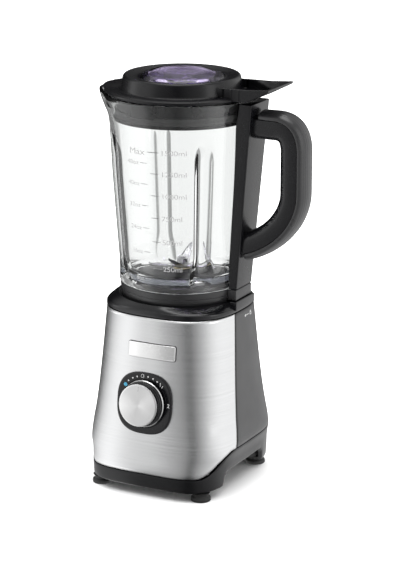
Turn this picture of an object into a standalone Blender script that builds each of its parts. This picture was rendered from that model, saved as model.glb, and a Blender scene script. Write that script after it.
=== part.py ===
"""Countertop blender: a motor base, a glass jug on a blade unit, a lid and a filler cap.

Sizes are in millimetres and each mesh is scaled to metres as it is made. Pieces are measured
from the jug's axis: x runs to the handle, -y to the dial, z up from the table.
"""
import bpy
import bmesh
from math import atan2, cos, exp, pi, radians, sin, sqrt
from mathutils import Vector
from mathutils.geometry import interpolate_bezier

MM = 0.001
GAP = 0.35                      # clearance between neighbouring pieces
LOWER_GAP = 1.1                 # shadow gap between the steel and the skirt
JUG_AXIS = (-23.3, 6.26)        # puts the middle of the whole object at x = y = 0

# Base outline: a superellipse whose half width, half depth and squareness change with height
BASE_MIDDLE_Y = -3.6
HALF_WIDTH = ((9, 70.5), (20, 71.6), (36, 74.2), (45, 77.4), (52, 78.0), (62, 77.4),
              (79, 75.4), (118, 72.3), (180, 68.6))
HALF_DEPTH = ((9, 81.0), (23, 82.2), (45, 79.5), (88, 73.8), (145, 68.2), (180, 65.5))
SQUARENESS = ((9, 4.6), (60, 3.5), (180, 2.7))
SKIRT_FOOT, STEEL_FOOT, COVER_FOOT, SHELL_TOP = 9.0, 23.5, 45.5, 180.0
SKIRT_WALL, STEEL_WALL, COVER_WALL = 3.0, 1.2, 2.4
HOUSING_INSET, HOUSING_WALL, HOUSING_FOOT, DECK_TOP = 4.6, 2.2, 30.2, 178.5
SEAM_TOP, SEAM_FOOT = radians(-12.1), radians(-20.0)    # front edge of the side cover
FRONT = radians(-90)
FOOT_SPOTS = {"front_left": (-55.5, -66.5), "front_right": (55.5, -66.5),
              "rear_left": (-55.5, 54.0), "rear_right": (55.5, 54.0)}
SCREW_SPOTS = {"front_left": (-46, -50), "front_right": (46, -50),
               "rear_left": (-42, 37), "rear_right": (42, 37)}

# Controls on the front panel
CONTROL_X, CONTROL_Z = -1.0, 94.5
PLATE_WIDTH, PLATE_HEIGHT, PLATE_BACK, PLATE_FACE = 60.0, 61.5, -2.6, 1.8
KNOB_RADIUS, KNOB_FACE = 20.9, 15.0
BADGE_WIDTH, BADGE_HEIGHT, BADGE_X, BADGE_Z = 51.2, 15.0, 4.5, 147.0
GLAND_X, GLAND_Z = -30.0, 38.0

# Seat, blade unit and jug
WELL_RADIUS, WELL_FLOOR, RIM_TOP = 62.3, 187.2, 190.6
COLLAR_FOOT, COLLAR_TOP = 187.5, 202.7
INTERLOCK_SPOT = (-54.3, 19.8)
JUG_OUTSIDE = ((203.3, 61.9), (218, 61.9), (245, 63.6), (272, 65.5), (318, 68.6), (345, 69.9),
               (368, 70.9), (374, 72.4), (382, 73.5), (389, 74.3))
JUG_INSIDE = ((390.2, 70.6), (382, 69.0), (370, 66.8), (345, 65.5), (300, 62.9), (250, 59.4),
              (222, 57.4), (215, 54.5), (210, 49.0), (203.3, 47.5))
JUG_RIM = (390.2, 73.6)
SPOUT_REACH, SPOUT_SPREAD = 16.8, 0.36
RIB_DEPTH, RIB_TOP = 5.0, 350.0
STRAP_FOOT, STRAP_TOP = 203.3, 388.0

# Lid
LID_RADIUS, LID_SPOUT, LID_PLATE = 73.6, 9.6, (391.0, 394.2)
TRAY_HALF, TRAY_WALL = 27.6, 2.2

FINISHES = {
    "black_plastic": ((0.012, 0.012, 0.014), 0.35, 0.0),
    "grey_plastic": ((0.10, 0.10, 0.105), 0.38, 0.0),
    "brushed_steel": ((0.62, 0.61, 0.59), 0.32, 1.0),
    "spun_aluminium": ((0.78, 0.78, 0.78), 0.28, 1.0),
    "blade_steel": ((0.66, 0.66, 0.66), 0.18, 1.0),
    "plain_steel": ((0.45, 0.45, 0.46), 0.4, 1.0),
    "brass": ((0.7, 0.5, 0.2), 0.3, 1.0),
    "copper": ((0.72, 0.33, 0.14), 0.4, 1.0),
    "carbon": ((0.05, 0.05, 0.05), 0.7, 0.0),
    "rubber": ((0.02, 0.02, 0.02), 0.8, 0.0),
    "glass": ((0.93, 0.96, 0.96), 0.03, 0.0),
    "tinted_clear": ((0.62, 0.55, 0.75), 0.06, 0.0),
    "circuit_board": ((0.05, 0.25, 0.1), 0.5, 0.0),
}


def finish_material(name):
    """The Principled material of one finish, made the first time it is asked for."""
    if name in bpy.data.materials:
        return bpy.data.materials[name]
    colour, roughness, metallic = FINISHES[name]
    material = bpy.data.materials.new(name)
    material.use_nodes = True
    shader = material.node_tree.nodes["Principled BSDF"]
    shader.inputs["Base Color"].default_value = (*colour, 1.0)
    shader.inputs["Roughness"].default_value = roughness
    shader.inputs["Metallic"].default_value = metallic
    return material


def empty(name, location, parent=None, rotation=(0.0, 0.0, 0.0)):
    """An axis or datum that pieces hang on, placed in millimetres."""
    anchor = bpy.data.objects.new(name, None)
    anchor.empty_display_size = 0.02
    anchor.location = Vector(location) * MM
    anchor.rotation_euler = rotation
    anchor.parent = parent
    bpy.context.collection.objects.link(anchor)
    return anchor


def piece(name, bm, finish, parent, location=(0.0, 0.0, 0.0)):
    """Turn a closed bmesh in millimetres into a named object in metres."""
    bmesh.ops.recalc_face_normals(bm, faces=bm.faces)
    bmesh.ops.scale(bm, vec=(MM, MM, MM), verts=bm.verts)
    mesh = bpy.data.meshes.new(name)
    bm.to_mesh(mesh)
    bm.free()
    mesh.shade_smooth()
    mesh.set_sharp_from_angle(angle=radians(35))
    mesh.materials.append(finish_material(finish))
    thing = bpy.data.objects.new(name, mesh)
    thing.parent = parent
    thing.location = Vector(location) * MM
    bpy.context.collection.objects.link(thing)
    return thing


def boolean(target, helper, operation):
    """Cut or join a helper solid, which stays hidden."""
    helper.hide_render = True
    helper.display_type = 'WIRE'
    modifier = target.modifiers.new(operation.lower(), 'BOOLEAN')
    modifier.operation = operation
    modifier.object = helper
    modifier.solver = 'EXACT'


def loft(rings, closed=False):
    """Join equal rings of points: a closed tube of rings, or a solid with flat end faces."""
    bm = bmesh.new()
    loops = [[bm.verts.new(point) for point in ring] for ring in rings]
    pairs = list(zip(loops, loops[1:]))
    if closed:
        pairs.append((loops[-1], loops[0]))
    for one, two in pairs:
        for i in range(len(one)):
            j = (i + 1) % len(one)
            bm.faces.new((one[i], one[j], two[j], two[i]))
    if not closed:
        bm.faces.new(loops[0])
        bm.faces.new(loops[-1])
    return bm


def turned(profile, steps=24):
    """Spin a closed outline of (radius, height) points about z."""
    bm = bmesh.new()
    points = [bm.verts.new((radius, 0.0, height)) for radius, height in profile]
    edges = [bm.edges.new((points[i], points[(i + 1) % len(points)]))
             for i in range(len(points)) if profile[i][0] or profile[(i + 1) % len(points)][0]]
    bmesh.ops.spin(bm, geom=points + edges, cent=(0, 0, 0), axis=(0, 0, 1), angle=2 * pi,
                   steps=steps, use_merge=True, use_duplicate=False)
    bmesh.ops.remove_doubles(bm, verts=bm.verts, dist=0.001)
    return bm


def box(low, high):
    """A box between two corners."""
    bm = bmesh.new()
    bmesh.ops.create_cube(bm, size=1.0)
    size = Vector(high) - Vector(low)
    bmesh.ops.scale(bm, vec=size, verts=bm.verts)
    bmesh.ops.translate(bm, vec=Vector(low) + size / 2, verts=bm.verts)
    return bm


def prism_xz(outline, half):
    """An outline in x and z, drawn out along y to both sides."""
    return loft([[(x, y, z) for x, z in outline] for y in (-half, half)])


def along(table, key):
    """Read a value between the rows of a (key, value) table."""
    rows = sorted(table)
    if key <= rows[0][0]:
        return rows[0][1]
    for (low, first), (high, second) in zip(rows, rows[1:]):
        if key <= high:
            return first + (second - first) * (key - low) / (high - low)
    return rows[-1][1]


def base_point(angle, height, inset=0.0):
    """A point on the base's outside, or that far inside it."""
    power = along(SQUARENESS, height)
    across = abs(cos(angle)) / (along(HALF_WIDTH, height) - inset)
    deep = abs(sin(angle)) / (along(HALF_DEPTH, height) - inset)
    reach = (across ** power + deep ** power) ** (-1 / power)
    return Vector((reach * cos(angle), BASE_MIDDLE_Y + reach * sin(angle), height))


def ring_at(height, inset=0.0, steps=36):
    """The base's outline at one height."""
    return [base_point(2 * pi * i / steps, height, inset) for i in range(steps)]


def circle(radius, height, steps=36):
    """A level circle about the jug's axis."""
    return [Vector((radius * cos(2 * pi * i / steps), radius * sin(2 * pi * i / steps), height))
            for i in range(steps)]


def smooth_step(value):
    """Ease from 0 to 1."""
    value = min(max(value, 0.0), 1.0)
    return value * value * (3 - 2 * value)


def panel_foot(angle):
    """Lower edge of the steel and of the side cover: low across the front, high at the sides."""
    off_front = abs((angle - FRONT + pi) % (2 * pi) - pi)
    rise = smooth_step((off_front - radians(38)) / radians(31.5))
    return STEEL_FOOT + (COVER_FOOT - STEEL_FOOT) * rise


def sheet(angles, foots, tops, wall, levels):
    """A curved wall of the base between two heights, with a thickness."""
    def column(i, inset):
        for level in levels:
            height = foots[i] + (tops[i] - foots[i]) * level
            yield base_point(angles[i](height), height, inset)
    outer = [list(column(i, 0.0)) for i in range(len(angles))]
    inner = [list(column(i, wall)) for i in range(len(angles))]
    rings = [out + back[::-1] for out, back in zip(outer, inner)]
    return loft(rings)


def seam(height):
    """Angle of the joint between steel and side cover at one height."""
    share = (height - COVER_FOOT) / (SHELL_TOP - COVER_FOOT)
    return SEAM_FOOT + (SEAM_TOP - SEAM_FOOT) * share


def make_front_panel(root, control):
    """Steel wrap over the front and its two corners, with the opening for the dial plate."""
    columns = 20
    half_gap = radians(0.55)

    def angle_at(share):
        def angle(height):
            left = -pi - seam(height) + half_gap
            right = seam(height) - half_gap
            return left + (right - left) * share
        return angle
    angles = [angle_at(i / columns) for i in range(columns + 1)]
    foots = [panel_foot(angle(COVER_FOOT)) + LOWER_GAP for angle in angles]
    tops = [SHELL_TOP - GAP] * len(angles)
    levels = (0, 0.08, 0.18, 0.32, 0.5, 0.75, 1)
    panel = piece("front_panel", sheet(angles, foots, tops, STEEL_WALL, levels), "brushed_steel", root)
    opening = squircle_prism(PLATE_WIDTH + 2 * GAP, PLATE_HEIGHT + 2 * GAP, -8, 8)
    boolean(panel, piece("dial_opening", opening, "rubber", control), 'DIFFERENCE')


def make_body_cover(root):
    """Plastic wrap over both sides and the back, with a row of air slots behind."""
    columns = 22
    half_gap = radians(0.55)

    def angle_at(share):
        def angle(height):
            right = seam(height) + half_gap
            left = pi - seam(height) - half_gap
            return right + (left - right) * share
        return angle
    angles = [angle_at(i / columns) for i in range(columns + 1)]
    foots = [COVER_FOOT + GAP] * len(angles)
    tops = [SHELL_TOP - GAP] * len(angles)
    levels = (0, 0.05, 0.14, 0.45, 1)
    cover = piece("body_cover", sheet(angles, foots, tops, COVER_WALL, levels), "grey_plastic", root)
    for i in range(6):
        middle = -30 + 12 * i
        slot = piece(f"air_slot_{i + 1}", box((middle - 2, 50, 110), (middle + 2, 90, 140)),
                     "rubber", root)
        boolean(cover, slot, 'DIFFERENCE')


def make_skirt(root):
    """Black lower ring that carries the shell, arched along both sides."""
    steps = 36
    spread = [2 * pi * i / steps for i in range(steps)]
    rings = []
    for inset, from_foot in ((0, 0), (0, 0.5), (0, 1), (SKIRT_WALL, 1), (SKIRT_WALL, 0)):
        rings.append([base_point(a, SKIRT_FOOT + (panel_foot(a) - SKIRT_FOOT) * from_foot, inset)
                      for a in spread])
    skirt = piece("skirt", loft(rings, closed=True), "black_plastic", root)
    arch_outline = ((-45, 0), (-44, 19), (-38, 24), (32, 24), (38, 19), (39, 0))
    arch = loft([[(x, y, z) for y, z in arch_outline] for x in (-100, 100)])
    boolean(skirt, piece("side_arch", arch, "rubber", root), 'DIFFERENCE')
    inlet = piece("gland_hole", turned(((0, -12), (5.0, -12), (5.0, 12), (0, 12))), "rubber",
                  bpy.data.objects["gland_axis"])
    boolean(skirt, inlet, 'DIFFERENCE')
    return inlet


def make_bottom_cover(root):
    """Plate under the motor, with a boss for each foot, air slots and screw holes."""
    slab = loft([ring_at(26.5, HOUSING_INSET), ring_at(29.6, HOUSING_INSET)])
    plate = piece("bottom_cover", slab, "black_plastic", root)
    for spot, (x, y) in FOOT_SPOTS.items():
        boss_axis = ((0, SKIRT_FOOT), (8.6, SKIRT_FOOT), (8.6, 28), (0, 28))
        boss = piece(f"boss_{spot}", turned(boss_axis, 12), "rubber", root, (x * 0.93, y * 0.93, 0))
        boolean(plate, boss, 'UNION')
    for i in range(5):
        y = -34 + 15 * i
        slot = piece(f"vent_{i + 1}", box((-32, y - 2.5, 20), (32, y + 2.5, 35)), "rubber", root)
        boolean(plate, slot, 'DIFFERENCE')
    for spot, (x, y) in SCREW_SPOTS.items():
        hole = turned(((0, 20), (2.1, 20), (2.1, 35), (0, 35)), 8)
        boolean(plate, piece(f"screw_hole_{spot}", hole, "rubber", root, (x, y, 0)), 'DIFFERENCE')


def make_base_housing(root, control, gland_hole):
    """Hidden frame inside the shell: walls, a deck, and four columns for the screws."""
    inner = HOUSING_INSET + HOUSING_WALL
    deck_foot = DECK_TOP - HOUSING_WALL
    rings = [ring_at(z, HOUSING_INSET) for z in (HOUSING_FOOT, 52, 90, DECK_TOP)]
    rings += [circle(24, DECK_TOP), circle(24, deck_foot)]
    rings += [ring_at(z, inner) for z in (deck_foot, 90, 52, HOUSING_FOOT)]
    housing = piece("base_housing", loft(rings, closed=True), "black_plastic", root)
    for spot, (x, y) in SCREW_SPOTS.items():
        column = turned(((0, 50), (1.9, 50), (1.9, HOUSING_FOOT), (5, HOUSING_FOOT),
                         (5, DECK_TOP - 1), (0, DECK_TOP - 1)), 8)
        boolean(housing, piece(f"column_{spot}", column, "rubber", root, (x, y, 0)), 'UNION')
    shaft_hole = turned(((0, -14), (6, -14), (6, 4), (0, 4)), 12)
    boolean(housing, piece("shaft_hole", shaft_hole, "rubber", control), 'DIFFERENCE')
    boolean(housing, gland_hole, 'DIFFERENCE')
    pin_hole = turned(((0, 170), (2.5, 170), (2.5, 195), (0, 195)), 8)
    pin_hole = piece("pin_hole", pin_hole, "rubber", root, (*INTERLOCK_SPOT, 0))
    boolean(housing, pin_hole, 'DIFFERENCE')
    return pin_hole


def make_top_cover(root, pin_hole):
    """Shoulder of the base, from the shell's outline up to the round seat of the jug."""
    def shoulder(height, share):
        outline = ring_at(SHELL_TOP, 0.0)
        rim = circle(WELL_RADIUS + 1.6, height)
        mixed = [start.lerp(end, share) for start, end in zip(outline, rim)]
        return [Vector((point.x, point.y, height)) for point in mixed]
    rings = [ring_at(SHELL_TOP, 0.3), shoulder(183.4, -0.03), shoulder(185.6, 0.12),
             shoulder(188.4, 0.55), shoulder(190.0, 0.9), shoulder(RIM_TOP, 1.0),
             circle(WELL_RADIUS, RIM_TOP), circle(WELL_RADIUS, WELL_FLOOR),
             circle(22, WELL_FLOOR), circle(22, WELL_FLOOR - 2.4), circle(59, WELL_FLOOR - 2.6),
             ring_at(SHELL_TOP, 3.0)]
    cover = piece("top_cover", loft(rings, closed=True), "black_plastic", root)
    step = piece("handle_step", box((WELL_RADIUS + 0.8, -20, 183), (70.2, 20, 191.6)), "rubber", root)
    boolean(cover, step, 'UNION')
    boolean(cover, pin_hole, 'DIFFERENCE')


def make_feet_and_screws(root):
    """Four rubber feet, and the four screws that hold the bottom cover."""
    foot = ((0, 0), (9.6, 0), (10, 0.8), (10, 3), (8.2, 4.6), (7.6, 6), (9.2, 8.6), (0, 8.6))
    for spot, (x, y) in FOOT_SPOTS.items():
        piece(f"foot_{spot}", turned(foot, 16), "rubber", root, (x, y, 0))
    screw = ((0, 23.6), (3.4, 23.6), (4.2, 24.6), (4.2, 26.1), (1.5, 26.1), (1.5, 44), (0, 45.5))
    for spot, (x, y) in SCREW_SPOTS.items():
        piece(f"base_screw_{spot}", turned(screw, 8), "plain_steel", root, (x, y, 0))


def squircle_prism(width, height, back, face, hole=None, steps=32, power=2.7):
    """A rounded plate in the control frame, with an optional round hole through it."""
    def edge(depth):
        points = []
        for i in range(steps):
            angle = 2 * pi * i / steps
            reach = ((abs(cos(angle)) / (width / 2)) ** power
                     + (abs(sin(angle)) / (height / 2)) ** power) ** (-1 / power)
            points.append((reach * cos(angle), reach * sin(angle), depth))
        return points
    if hole is None:
        return loft([edge(back), edge(face)])
    return loft([edge(back), edge(face), circle(hole, face, steps), circle(hole, back, steps)], True)


def make_controls(root, control):
    """Dial plate, rotary switch and the two-piece knob, in the frame of the front panel."""
    plate = squircle_prism(PLATE_WIDTH, PLATE_HEIGHT, PLATE_BACK, PLATE_FACE, hole=4.0)
    piece("dial_plate", plate, "black_plastic", control)
    knob = ((0, 12.6), (20.1, 12.6), (20.5, 5.0), (22.8, 4.6), (23.1, 2.2), (19.2, 2.2), (18.9, 10.3),
            (6.5, 10.3), (6.5, 2.4), (3.4, 2.4), (3.4, 10.3), (0, 10.3))
    piece("knob_body", turned(knob, 28), "black_plastic", control)
    cap = ((0, KNOB_FACE), (KNOB_RADIUS - 0.9, KNOB_FACE), (KNOB_RADIUS, KNOB_FACE - 0.6),
           (KNOB_RADIUS, 12.95), (0, 12.95))
    piece("knob_cap", turned(cap, 28), "spun_aluminium", control)
    shaft = ((0, -9.1), (3.0, -9.1), (3.0, 9.8), (0, 9.8))
    piece("switch_shaft", turned(shaft, 12), "plain_steel", control)
    piece("switch_body", box((-15, -15, -28), (15, 15, -9.5)), "black_plastic", control)


def make_badge(root):
    """Blank metal badge that follows the curve of the front panel."""
    columns = 10
    rings = []
    for i in range(columns + 1):
        x = BADGE_X + BADGE_WIDTH * (i / columns - 0.5)
        ring = []
        for proud, z in ((GAP, -0.5), (1.5, -0.5), (1.5, 0.5), (GAP, 0.5)):
            height = BADGE_Z + BADGE_HEIGHT * z
            edge = along(HALF_WIDTH, height) + proud
            deep = along(HALF_DEPTH, height) + proud
            power = along(SQUARENESS, height)
            y = BASE_MIDDLE_Y - deep * (1 - (abs(x) / edge) ** power) ** (1 / power)
            ring.append((x, y, height))
        rings.append(ring)
    piece("badge_plate", loft(rings), "spun_aluminium", root)


def star(outer, inner, teeth, height, per_tooth=4):
    """A toothed ring of points: half of each tooth out at the tip, half in at the root."""
    points = []
    for i in range(teeth * per_tooth):
        radius = outer if i % per_tooth < per_tooth / 2 else inner
        angle = 2 * pi * (i + 0.5) / (teeth * per_tooth)
        points.append((radius * cos(angle), radius * sin(angle), height))
    return points


def toothed(outer, inner, teeth, bore, foot, top):
    """A toothed solid with a round bore."""
    count = teeth * 4
    rings = [star(outer, inner, teeth, foot), star(outer, inner, teeth, top),
             circle(bore, top, count), circle(bore, foot, count)]
    return loft(rings, closed=True)


def make_motor(root):
    """Series motor on the jug's axis: brackets, stator with two coils, brushes and bearings."""
    upper = ((11.6, 157.5), (14.5, 157.5), (14.5, 170.5), (48, 170.5), (48, 175.8), (11.6, 175.8))
    piece("upper_bracket", turned(upper), "plain_steel", root)
    lower = ((9.6, 56), (48, 56), (48, 60), (12.5, 60), (12.5, 66), (9.6, 66))
    piece("lower_bracket", turned(lower), "plain_steel", root)
    piece("upper_bearing", turned(((4.4, 159), (11.2, 159), (11.2, 166), (4.4, 166)), 24),
          "plain_steel", root)
    piece("lower_bearing", turned(((4.4, 58), (9.2, 58), (9.2, 65), (4.4, 65)), 24),
          "plain_steel", root)
    for side, y in (("front", -42), ("rear", 42)):
        piece(f"motor_post_{side}", turned(((0, 60.4), (2.5, 60.4), (2.5, 170.1), (0, 170.1)), 8),
              "plain_steel", root, (0, y, 0))
    stator = piece("stator_core", box((-37, -35, 92), (37, 35, 132)), "plain_steel", root)
    window = piece("stator_window", box((-28, -28.8, 80), (28, 28.8, 150)), "rubber", root)
    boolean(stator, window, 'DIFFERENCE')
    for side, sign in (("front", -1), ("rear", 1)):
        low, high = sorted((sign * 20, sign * 32))
        pole = piece(f"pole_{side}", box((-16.5, low, 92), (16.5, high, 132)), "rubber", root)
        boolean(stator, pole, 'UNION')
        inner, outer = sorted((sign * 24, sign * 28.4))
        coil = piece(f"field_coil_{side}", box((-27, inner, 83), (27, outer, 141)), "copper", root)
        core = piece(f"coil_core_{side}", box((-17, inner - 5, 91.5), (17, outer + 5, 132.5)),
                     "rubber", root)
        boolean(coil, core, 'DIFFERENCE')
    bore = piece("stator_bore", turned(((0, 80), (23, 80), (23, 150), (0, 150))), "rubber", root)
    boolean(stator, bore, 'DIFFERENCE')
    for side, sign in (("left", -1), ("right", 1)):
        near, far = sorted((sign * 13, sign * 31))
        holder = piece(f"brush_holder_{side}", box((near, -6, 60.5), (far, 6, 82)),
                       "black_plastic", root)
        channel = piece(f"brush_channel_{side}", box((near - 5, -3.4, 71.6), (far + 5, 3.4, 80.4)),
                        "rubber", root)
        boolean(holder, channel, 'DIFFERENCE')
        near, far = sorted((sign * 10.9, sign * 27))
        piece(f"carbon_brush_{side}", box((near, -3, 72), (far, 3, 80)), "carbon", root)


def make_rotor(rotor):
    """Everything that spins in the base: shaft, armature, commutator, fan and coupling."""
    piece("motor_shaft", turned(((0, 54), (4, 54), (4, 198), (0, 198)), 16), "plain_steel", rotor)
    piece("rotor_core", toothed(21.5, 18.5, 8, 4.4, 92.4, 131.6), "plain_steel", rotor)
    piece("armature_winding_upper", turned(((4.4, 132), (18, 132), (15, 141), (4.4, 141)), 24),
          "copper", rotor)
    piece("armature_winding_lower", turned(((4.4, 83), (15, 83), (18, 92), (4.4, 92)), 24),
          "copper", rotor)
    bars = ((4.4, 70), (10.5, 70), (10.5, 82.5), (4.4, 82.5))
    piece("commutator", turned(bars, 20), "copper", rotor)
    piece("cooling_fan", toothed(30, 11, 9, 4.4, 144, 153), "black_plastic", rotor)
    piece("drive_coupling", toothed(11, 8.2, 6, 4.4, 188.2, 198.6), "black_plastic", rotor)


def make_electrics(root, gland):
    """Speed control board, jug interlock switch and the gland where the mains lead goes in."""
    piece("control_board", box((-32, 51.0, 100), (32, 52.6, 150)), "circuit_board", root)
    x, y = INTERLOCK_SPOT
    piece("interlock_switch", box((x - 3.6, y - 6, 160), (x + 3.6, y + 4, 172.2)), "black_plastic", root)
    gland_outline = ((0, -7), (4.6, -7), (4.6, 0.4), (6.2, 0.4), (5.6, 4.6), (3.3, 4.6), (3.3, 2), (0, 2))
    piece("cord_gland", turned(gland_outline, 16), "rubber", gland)


def make_blade_unit(unit, spin):
    """Collar that closes the jug from below, with the blades on their own shaft."""
    collar = ((59.2, COLLAR_FOOT), (59.8, 190.4), (61.2, 200), (61.2, COLLAR_TOP), (43.6, COLLAR_TOP),
              (43.6, 207), (40, 208.6), (13, 210.5), (12, 213.2), (8.2, 213.2), (8.2, 203.4),
              (12.2, 203.4), (12.2, 206.8), (38, 204.6), (41, 199.6), (56.4, 199.6),
              (56.4, COLLAR_FOOT))
    body = piece("blade_collar", turned(collar, 36), "black_plastic", unit)
    lug = piece("collar_lug", box((58, -17, 192.1), (68.2, 17, COLLAR_TOP - 0.05)), "rubber", unit)
    boolean(body, lug, 'UNION')
    piece("seal_ring", turned(((44, 203), (47.1, 203), (47.1, 206.2), (44, 206.2)), 36), "rubber", unit)
    bush = ((4.4, 203.2), (7.9, 203.2), (7.9, 213.5), (9.2, 213.6), (8.6, 215.4), (4.4, 215.4))
    piece("blade_bush", turned(bush, 16), "brass", unit)
    shaft = ((0, 199.4), (4, 199.4), (4, 216), (3, 216), (3, 226.5), (0, 227))
    piece("blade_shaft", turned(shaft, 16), "blade_steel", spin)
    count = 24
    socket = [circle(15, 190.4, count), circle(15, 202.9, count), circle(4.4, 202.9, count),
              circle(4.4, 199.2, count), star(11.6, 8.8, 6, 199.2), star(11.6, 8.8, 6, 190.4)]
    piece("driven_coupling", loft(socket, closed=True), "black_plastic", spin)
    for name, foot, rise, turn in (("blade_lower", 216.4, -1.5, 20), ("blade_upper", 218.3, 13.0, 110)):
        blade = make_blade(name, foot, rise, spin)
        blade.rotation_euler.z = radians(turn)
    nut = ((3.5, 220.3), (6.2, 220.3), (6.2, 225), (3.5, 225))
    piece("blade_nut", turned(nut, 6), "blade_steel", spin)


def make_blade(name, foot, rise, parent):
    """A two-winged blade: flat at the hub, tips swept back and bent up or down."""
    thick, reach, hub = 1.5, 35.0, 9.0
    rings = []
    for share in (-1.0, -0.8, -0.55, -0.26, 0.26, 0.55, 0.8, 1.0):
        out = max(abs(share) * reach - hub, 0.0) / (reach - hub)
        side = 1 if share > 0 else -1
        half = 6.0 - 3.6 * out
        sweep = -side * 7.0 * out * out
        z = foot + rise * out ** 1.3
        x = share * reach
        rings.append([(x, sweep - half, z), (x, sweep + half, z),
                      (x, sweep + half, z + thick), (x, sweep - half, z + thick)])
    blade = piece(name, loft(rings), "blade_steel", parent)
    hole = piece(f"{name}_hole", turned(((0, 210), (3.5, 210), (3.5, 240), (0, 240)), 12), "rubber",
                 parent)
    boolean(blade, hole, 'DIFFERENCE')
    return blade


def spout(angle, height, reach):
    """How far the pouring lip at -x pulls the rim out at one angle and height."""
    off = abs(abs(angle) - pi)
    return reach * exp(-(off / SPOUT_SPREAD) ** 2) * smooth_step((height - 352) / 36)


def make_jug(jug):
    """Pressed glass jug: thick foot, four inward ribs and a pouring lip opposite the handle."""
    steps = 40
    rings = []
    rows = [(radius, height, 0.0) for height, radius in JUG_OUTSIDE + (JUG_RIM,)]
    rows += [(radius, height, 1.0) for height, radius in JUG_INSIDE]
    for radius, height, inside in rows:
        ring = []
        for i in range(steps):
            angle = 2 * pi * i / steps
            angle -= 2 * pi if angle > pi else 0.0
            off_rib = abs((angle % (pi / 2)) - pi / 4)
            depth = RIB_DEPTH * max(0.0, 1 - off_rib / radians(9)) * inside
            depth *= smooth_step((RIB_TOP - height) / 45) * smooth_step((height - 214) / 10)
            reach = radius - depth + spout(angle, height, SPOUT_REACH)
            ring.append((reach * cos(angle), reach * sin(angle), height))
        rings.append(ring)
    piece("glass_jug", loft(rings, closed=True), "glass", jug)


def handle_path():
    """Middle line of the grip in x and z, from the strap's top round to its lower end."""
    corners = (((77, 367.4), (98, 367.4), (95, 367.4), (104, 367.4)),
               ((104, 367.4), (118, 367.4), (123.8, 358), (123.8, 343)),
               ((123.8, 343), (123.8, 330), (123.8, 315), (123.8, 303)),
               ((123.8, 303), (123.8, 280), (104, 254), (71.5, 244.6)))
    line = []
    for (start, leave, arrive, end), count in zip(corners, (3, 6, 3, 8)):
        bend = interpolate_bezier(*(Vector((x, 0, z)) for x, z in (start, leave, arrive, end)), count)
        line += [Vector(point) for point in (bend if not line else bend[1:])]
    return line


def swept(path, section):
    """Carry a section of (outward, sideways) points along a path in the x-z plane."""
    rings = []
    for i, point in enumerate(path):
        before, after = path[max(i - 1, 0)], path[min(i + 1, len(path) - 1)]
        ahead = (after - before).normalized()
        outward = Vector((-ahead.z, 0, ahead.x))
        rings.append([point + outward * out + Vector((0, side, 0)) for out, side in section])
    return loft(rings)


def make_handle(jug):
    """Strap down the side of the jug, and a grip made of an inner and an outer shell."""
    rings = []
    for height in (STRAP_FOOT, 218, 245, 272, 318, 345, 368, 374, 382, STRAP_TOP):
        share = (height - STRAP_FOOT) / (STRAP_TOP - STRAP_FOOT)
        half = 16.8 + 3.2 * share
        outside = 68.5 + 19.1 * share
        against = along(JUG_OUTSIDE, height) + 0.5
        inner = [(sqrt(against ** 2 - y ** 2), y, height) for y in (-half, -half / 2, 0, half / 2, half)]
        outer = [(outside - 1.5, half, height), (outside, half - 2.5, height),
                 (outside, 2.5 - half, height), (outside - 1.5, -half, height)]
        rings.append(inner + outer)
    body = piece("handle_body", loft(rings), "black_plastic", jug)
    line = handle_path()
    grip = ((-13.9, -6.5), (-13.9, 6.5), (-10.5, 11.6), (-5, 13.2), (6, 13.2), (6, -13.2),
            (-5, -13.2), (-10.5, -11.6))
    boolean(body, piece("grip_core", swept(line, grip), "rubber", jug), 'UNION')
    shell = ((6.3, 13.2), (6.3, -13.2), (10.6, -11.6), (13.9, -6.5), (13.9, 6.5), (10.6, 11.6))
    free = [point for point in line if point.x > 84 + (point.z - 367) * 0.1 - 3 * (point.z < 300)]
    piece("handle_cover", swept(free, shell), "grey_plastic", jug)


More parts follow.
